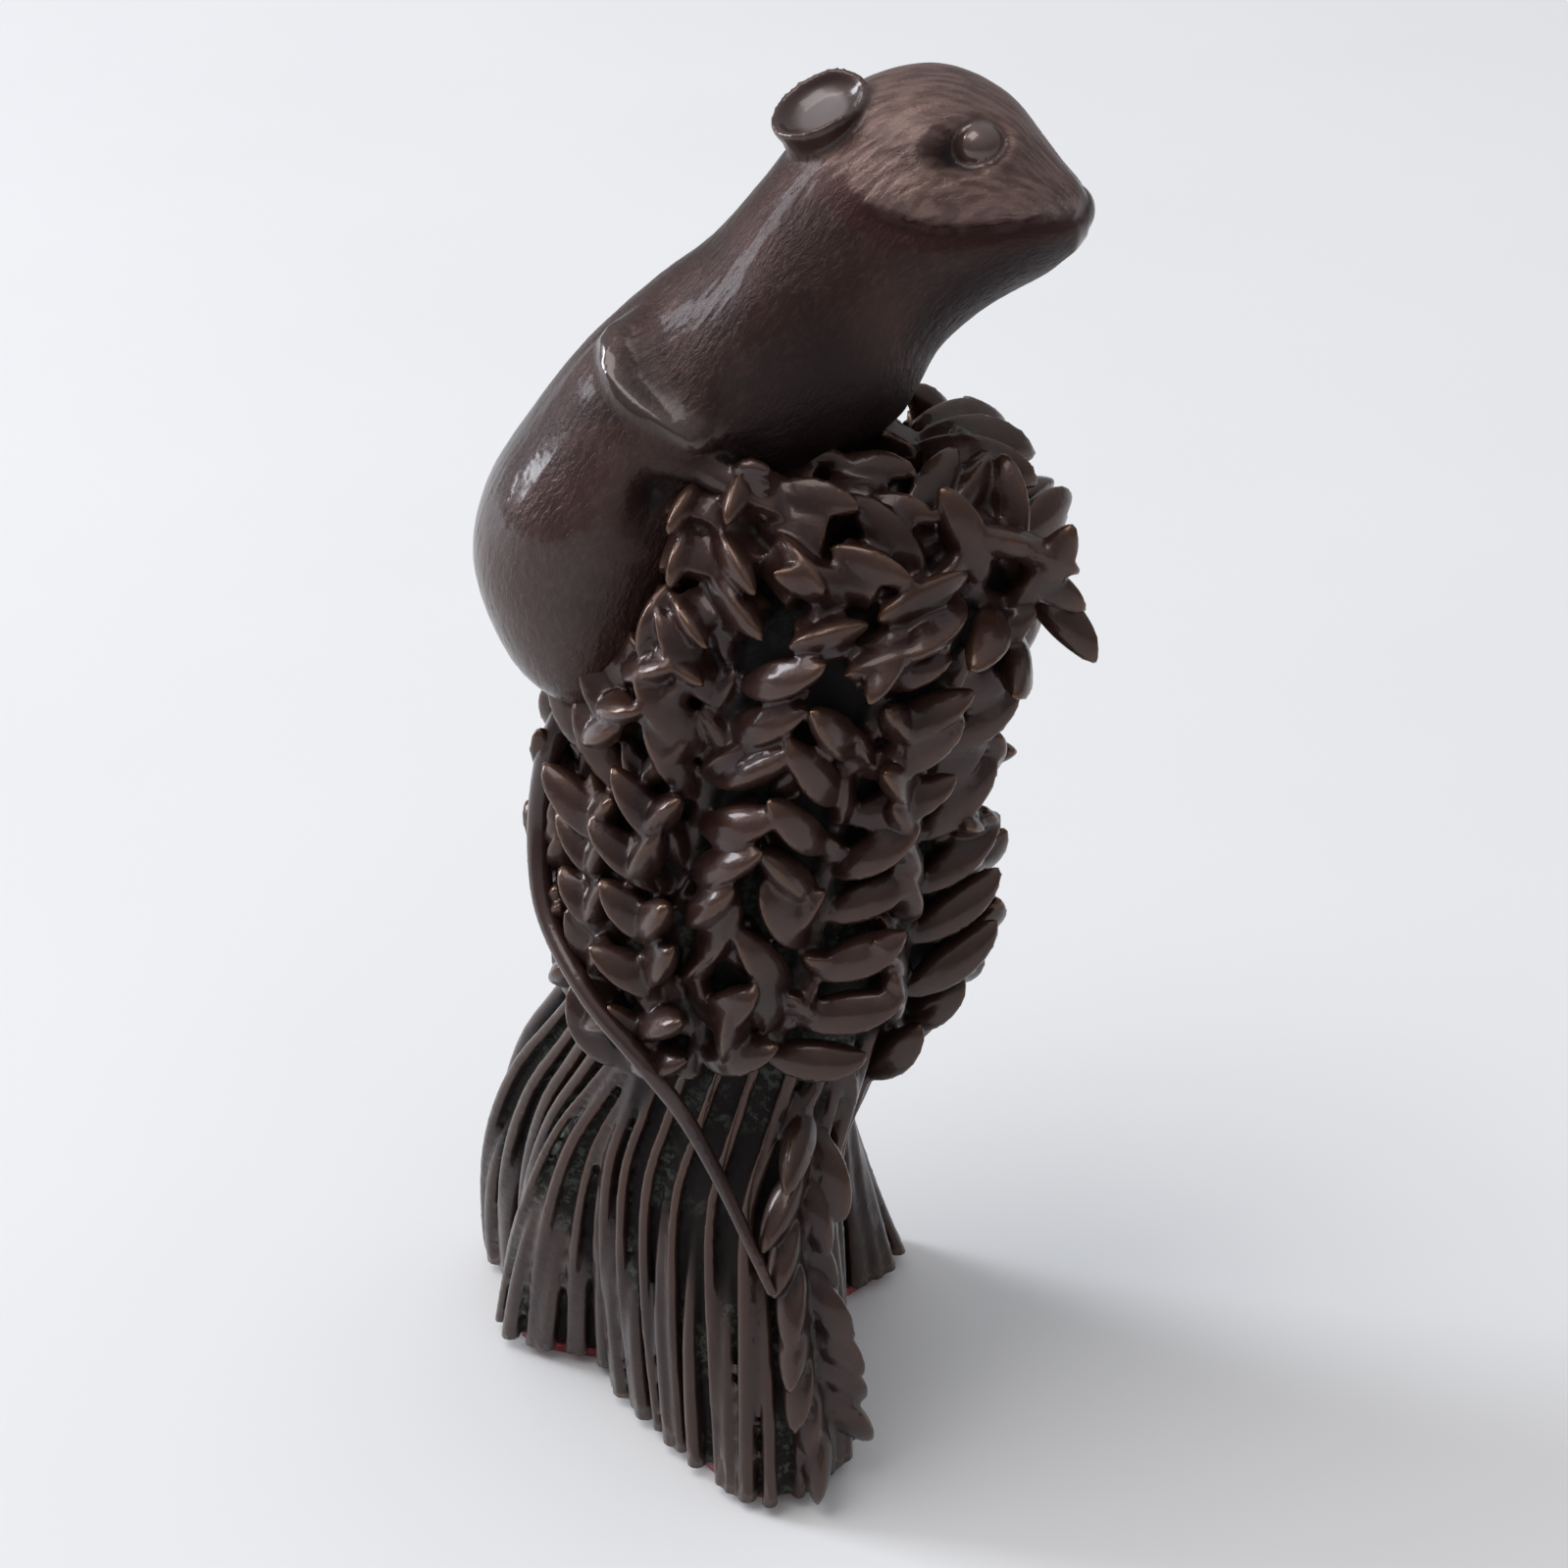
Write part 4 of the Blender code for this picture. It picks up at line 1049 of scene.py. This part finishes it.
# Painted shade for the mouse's flank and throat
FUR_PAINTED_SHADE = (0.012, 0.0055, 0.0055)
RED_BROWN = (0.034, 0.0065, 0.0055)
HUSK_FACE = (0.095, 0.048, 0.030)
WORN_EDGE = (0.17, 0.088, 0.050)
# Near black for the hollows: dark patina, deepened as painted shade
HOLLOW_PATINA_AND_SHADE = (0.0050, 0.0042, 0.0045)
VERDIGRIS = (0.120, 0.150, 0.115)
LOW_STALKS = (0.018, 0.011, 0.010)

# The felt's colours
CRIMSON_DEEP = (0.16, 0.006, 0.010)
CRIMSON = (0.42, 0.025, 0.035)
CRIMSON_TUFT = (0.30, 0.010, 0.016)


def new_material(name):
    """A material, its node tree, its shader, and where each point lies on the object."""
    material = bpy.data.materials.new(name)
    material.use_nodes = True
    tree = material.node_tree
    place = tree.nodes.new("ShaderNodeTexCoord").outputs["Object"]
    return material, tree, tree.nodes["Principled BSDF"], place


def fur_strokes(tree, place):
    """Short tufts and fine hairs, lying along the body."""
    flow = attribute(tree, "fur", "Vector")
    warp = node(tree, "ShaderNodeTexNoise", Vector=place, Scale=220.0, Detail=2.0)
    centred = node(tree, "ShaderNodeVectorMath", i0=warp.outputs["Color"], i1=(0.5, 0.5, 0.5))
    centred.operation = "SUBTRACT"
    shift = node(tree, "ShaderNodeVectorMath", i0=centred.outputs[0])
    shift.operation = "SCALE"
    shift.inputs["Scale"].default_value = 0.0016
    moved = node(tree, "ShaderNodeVectorMath", i0=flow, i1=shift.outputs[0])
    moved.operation = "ADD"
    strokes = []
    for along, fine in ((0.38, 2600.0), (0.28, 5200.0)):
        scales = (along, 1.0, 1.0)
        stretched = node(tree, "ShaderNodeVectorMath", i0=moved.outputs[0], i1=scales)
        stretched.operation = "MULTIPLY"
        strokes.append(noise(tree, stretched.outputs[0], fine, 2.0, 0.5))
    return strokes


def bronze(name, fur):
    """Dark brown patina under wax: black in the hollows, from dark patina and painted shade, golden
    on rubbed edges.
    """
    material, tree, shader, place = new_material(name)
    edge = attribute(tree, "edge")
    hollow = attribute(tree, "hollow")
    broad = noise(tree, place, 70.0, 2.0)
    blotch = noise(tree, place, 330.0, 4.0)
    grain = noise(tree, place, 2400.0, 3.0, 0.6)

    colour = mixed(tree, level(tree, broad, 0.35, 0.65), BROWN_DEEP, BROWN)
    blotched = times(tree, level(tree, blotch, 0.48, 0.72), 0.40)
    colour = mixed(tree, blotched, colour, BROWN_BLOTCH)
    worn = level(tree, plus(tree, edge, times(tree, blotch, 0.7)), 0.95, 2.3)
    deep = level(tree, plus(tree, hollow, times(tree, blotch, 0.3)), 0.25, 1.05)
    if fur:
        bare = attribute(tree, "bare")
        tufts, hairs = fur_strokes(tree, place)
        coat = minus(tree, 1.0, bare)
        strokes = times(tree, coat, level(tree, tufts, 0.48, 0.68))
        colour = mixed(tree, times(tree, strokes, 0.22), colour, TUFT_TIP)
        cheek = attribute(tree, "cheek")
        raised = attribute(tree, "tuft")
        mottled = plus(tree, times(tree, raised, 0.70), times(tree, blotch, 0.30))
        pale = level(tree, mottled, 0.34, 0.66)
        pale = times(tree, cheek, plus(tree, 0.42, times(tree, pale, 0.46)))
        colour = mixed(tree, pale, colour, PALE_FUR)
        # Painted sheen: the ear bowls are mixed towards a pale grey, as a reflection
        bowl_sheen = attribute(tree, "bowl_sheen")
        colour = mixed(tree, times(tree, bowl_sheen, 0.65), colour, EAR_BOWL_PAINTED_SHEEN)
        ball = attribute(tree, "ball")
        colour = mixed(tree, times(tree, ball, 0.75), colour, EYEBALL)
        # Painted shade: the flank and the throat are mixed towards near black
        shade = attribute(tree, "shade")
        colour = mixed(tree, times(tree, shade, 0.85), colour, FUR_PAINTED_SHADE)
        red = attribute(tree, "red")
        colour = mixed(tree, times(tree, red, 0.75), colour, RED_BROWN)
        worn = times(tree, worn, 0.5)
    else:
        deep = plus(tree, attribute(tree, "deep"), times(tree, deep, 0.6))
        deep = level(tree, deep, 0.15, 1.05)
        proud = level(tree, minus(tree, times(tree, blotch, 0.5), hollow), 0.35, 1.1)
        colour = mixed(tree, times(tree, proud, 0.35), colour, HUSK_FACE)
    colour = mixed(tree, times(tree, worn, 0.45), colour, WORN_EDGE)
    # Hollows and deep points are mixed towards near black: dark patina there, and painted shade
    colour = mixed(tree, times(tree, deep, 0.92), colour, HOLLOW_PATINA_AND_SHADE)
    if not fur:
        speck = level(tree, noise(tree, place, 1000.0, 4.0, 0.7), 0.47, 0.60)
        patch = level(tree, noise(tree, place, 110.0, 2.0), 0.44, 0.60)
        split = node(tree, "ShaderNodeSeparateXYZ", Vector=place)
        low = level(tree, split.outputs["Z"], 0.075, 0.040)
        green = times(tree, times(tree, speck, patch), level(tree, deep, 0.10, 0.6))
        green = times(tree, green, plus(tree, 0.07, times(tree, low, 0.60)))
        colour = mixed(tree, green, colour, VERDIGRIS)
        colour = mixed(tree, times(tree, low, 0.30), colour, LOW_STALKS)
    tree.links.new(colour, shader.inputs["Base Color"])

    metal = plus(tree, 0.45, times(tree, worn, 0.40))
    tree.links.new(minus(tree, metal, times(tree, deep, 0.48)), shader.inputs["Metallic"])
    rough = plus(tree, 0.27, times(tree, blotch, 0.20))
    if fur:
        waxed = attribute(tree, "waxed")
        rough = plus(tree, rough, times(tree, minus(tree, 1.0, waxed), 0.10))
        rough = minus(tree, rough, times(tree, ball, 0.16))
    rough = plus(tree, rough, times(tree, deep, 0.42))
    tree.links.new(minus(tree, rough, times(tree, worn, 0.08)), shader.inputs["Roughness"])
    wax = 0.45
    if fur:
        wax = plus(tree, 0.12, times(tree, bare, 0.60))
        wax = plus(tree, wax, times(tree, maths(tree, "MAXIMUM", waxed, ball), 0.50))
        wax = minus(tree, wax, times(tree, shade, 0.12))
    tree.links.new(minus(tree, wax, times(tree, deep, 0.50)), shader.inputs["Coat Weight"])
    shader.inputs["Coat Roughness"].default_value = 0.13
    shader.inputs["Specular IOR Level"].default_value = 0.30

    height = plus(tree, times(tree, grain, 0.20), times(tree, blotch, 0.45))
    if fur:
        height = times(tree, height, minus(tree, 1.0, times(tree, bare, 0.85)))
        hair = plus(tree, times(tree, tufts, 0.55), times(tree, hairs, 0.28))
        height = plus(tree, height, times(tree, coat, hair))
    bump = node(tree, "ShaderNodeBump", Strength=0.70, Distance=0.00028, Height=height)
    tree.links.new(bump.outputs["Normal"], shader.inputs["Normal"])
    return material


def felt_cloth():
    """Crimson felt, a mat of short fibres."""
    material, tree, shader, place = new_material("felt_cloth")
    fibre = noise(tree, place, 3000.0, 5.0, 0.75)
    tuft = noise(tree, place, 700.0, 3.0)
    colour = mixed(tree, level(tree, fibre, 0.35, 0.7), CRIMSON_DEEP, CRIMSON)
    tufted = times(tree, level(tree, tuft, 0.4, 0.7), 0.4)
    colour = mixed(tree, tufted, colour, CRIMSON_TUFT)
    tree.links.new(colour, shader.inputs["Base Color"])
    shader.inputs["Roughness"].default_value = 0.95
    shader.inputs["Sheen Weight"].default_value = 0.5
    shader.inputs["Sheen Roughness"].default_value = 0.5
    bump = node(tree, "ShaderNodeBump", Strength=0.8, Distance=0.0002,
                Height=plus(tree, fibre, tuft))
    tree.links.new(bump.outputs["Normal"], shader.inputs["Normal"])
    return material


def build_piece(name, add_parts, voxel, fur):
    """Build, skin, mark, thin and colour one bronze piece, which stands for the casting."""
    bm = bmesh.new()
    add_parts(bm)
    item = new_object(name, bm)
    skin(item, voxel)
    keep_largest_shell(item)
    cut_flat(item, BASE)
    mark_relief(item)
    if fur:
        mark_fur(item)
    else:
        mark_depth(item)
    thin_out(item, PIECE_TRIANGLES)
    keep_inside(item)
    item.data.shade_smooth()
    item.data.materials.clear()
    item.data.materials.append(bronze(name + "_bronze", fur))
    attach(item, "root")
    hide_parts("mouse_on_sheaf")


def dress_felt():
    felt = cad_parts["felt_pad"]
    felt.data.materials.clear()
    felt.data.materials.append(felt_cloth())


# The camera: what it looks at, from how far off, and its lens. It looks down by VIEW_RISE.
CAMERA_AIM = Vector((0.008, 0.0, 0.0644))
CAMERA_AWAY = 0.300
CAMERA_LENS = 77.83

# The floor's half width, and the sky's grey at the horizon and overhead
FLOOR_REACH = 12.0
SKY_LOW = (0.26, 0.26, 0.27)
SKY_HIGH = (0.76, 0.77, 0.79)
SKY_STRENGTH = 0.88


def add_camera():
    camera = bpy.data.objects.new("camera", bpy.data.cameras.new("camera"))
    bpy.context.scene.collection.objects.link(camera)
    back = Vector((0.0, -math.cos(VIEW_RISE), math.sin(VIEW_RISE)))
    camera.location = CAMERA_AIM + back * CAMERA_AWAY
    camera.rotation_euler = (-back).to_track_quat("-Z", "Y").to_euler()
    camera.data.sensor_width = 36.0
    camera.data.lens = CAMERA_LENS
    camera.data.clip_start = 0.01
    bpy.context.scene.camera = camera


def add_lamp(name, place, target, size, energy, colour):
    """A rectangular lamp, in watts, that faces the target."""
    lamp = bpy.data.lights.new(name, "AREA")
    lamp.shape = "RECTANGLE"
    lamp.size, lamp.size_y = size
    lamp.energy = energy
    lamp.color = colour
    item = bpy.data.objects.new(name, lamp)
    item.location = place
    item.rotation_euler = (Vector(target) - Vector(place)).to_track_quat("-Z", "Y").to_euler()
    bpy.context.scene.collection.objects.link(item)


def add_floor():
    bm = bmesh.new()
    corners = ((-1, -1), (1, -1), (1, 1), (-1, 1))
    bm.faces.new([bm.verts.new((x * FLOOR_REACH, y * FLOOR_REACH, 0.0)) for x, y in corners])
    floor = new_object("floor", bm)
    material, tree, shader, place = new_material("floor_paper")
    mottle = noise(tree, place, 12.0, 3.0)
    colour = mixed(tree, mottle, (0.79, 0.79, 0.80), (0.83, 0.83, 0.84))
    tree.links.new(colour, shader.inputs["Base Color"])
    shader.inputs["Roughness"].default_value = 0.75
    floor.data.materials.append(material)
    floor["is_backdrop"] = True


def add_light():
    world = bpy.data.worlds.new("studio")
    bpy.context.scene.world = world
    world.use_nodes = True
    tree = world.node_tree
    sky = tree.nodes["Background"]
    place = node(tree, "ShaderNodeTexCoord").outputs["Generated"]
    way = node(tree, "ShaderNodeSeparateXYZ", Vector=place)
    bright = level(tree, way.outputs["Z"], 0.0, 1.0)
    tree.links.new(mixed(tree, bright, SKY_LOW, SKY_HIGH), sky.inputs["Color"])
    sky.inputs["Strength"].default_value = SKY_STRENGTH
    add_lamp("window", (-1.70, 0.50, 0.85), (0.0, 0.0, 0.07), (0.50, 1.00), 25.0, (0.88, 0.93, 1.0))
    add_lamp("room", (-0.60, -0.25, 1.40), (0.0, 0.0, 0.06), (0.9, 0.9), 8.0, (1.0, 0.97, 0.94))
    bpy.context.scene.view_settings.view_transform = "Standard"


add_camera()
add_floor()
add_light()
build_piece("mouse", add_mouse, MOUSE_VOXEL, True)
build_piece("wheat_sheaf", add_sheaf, SHEAF_VOXEL, False)
dress_felt()
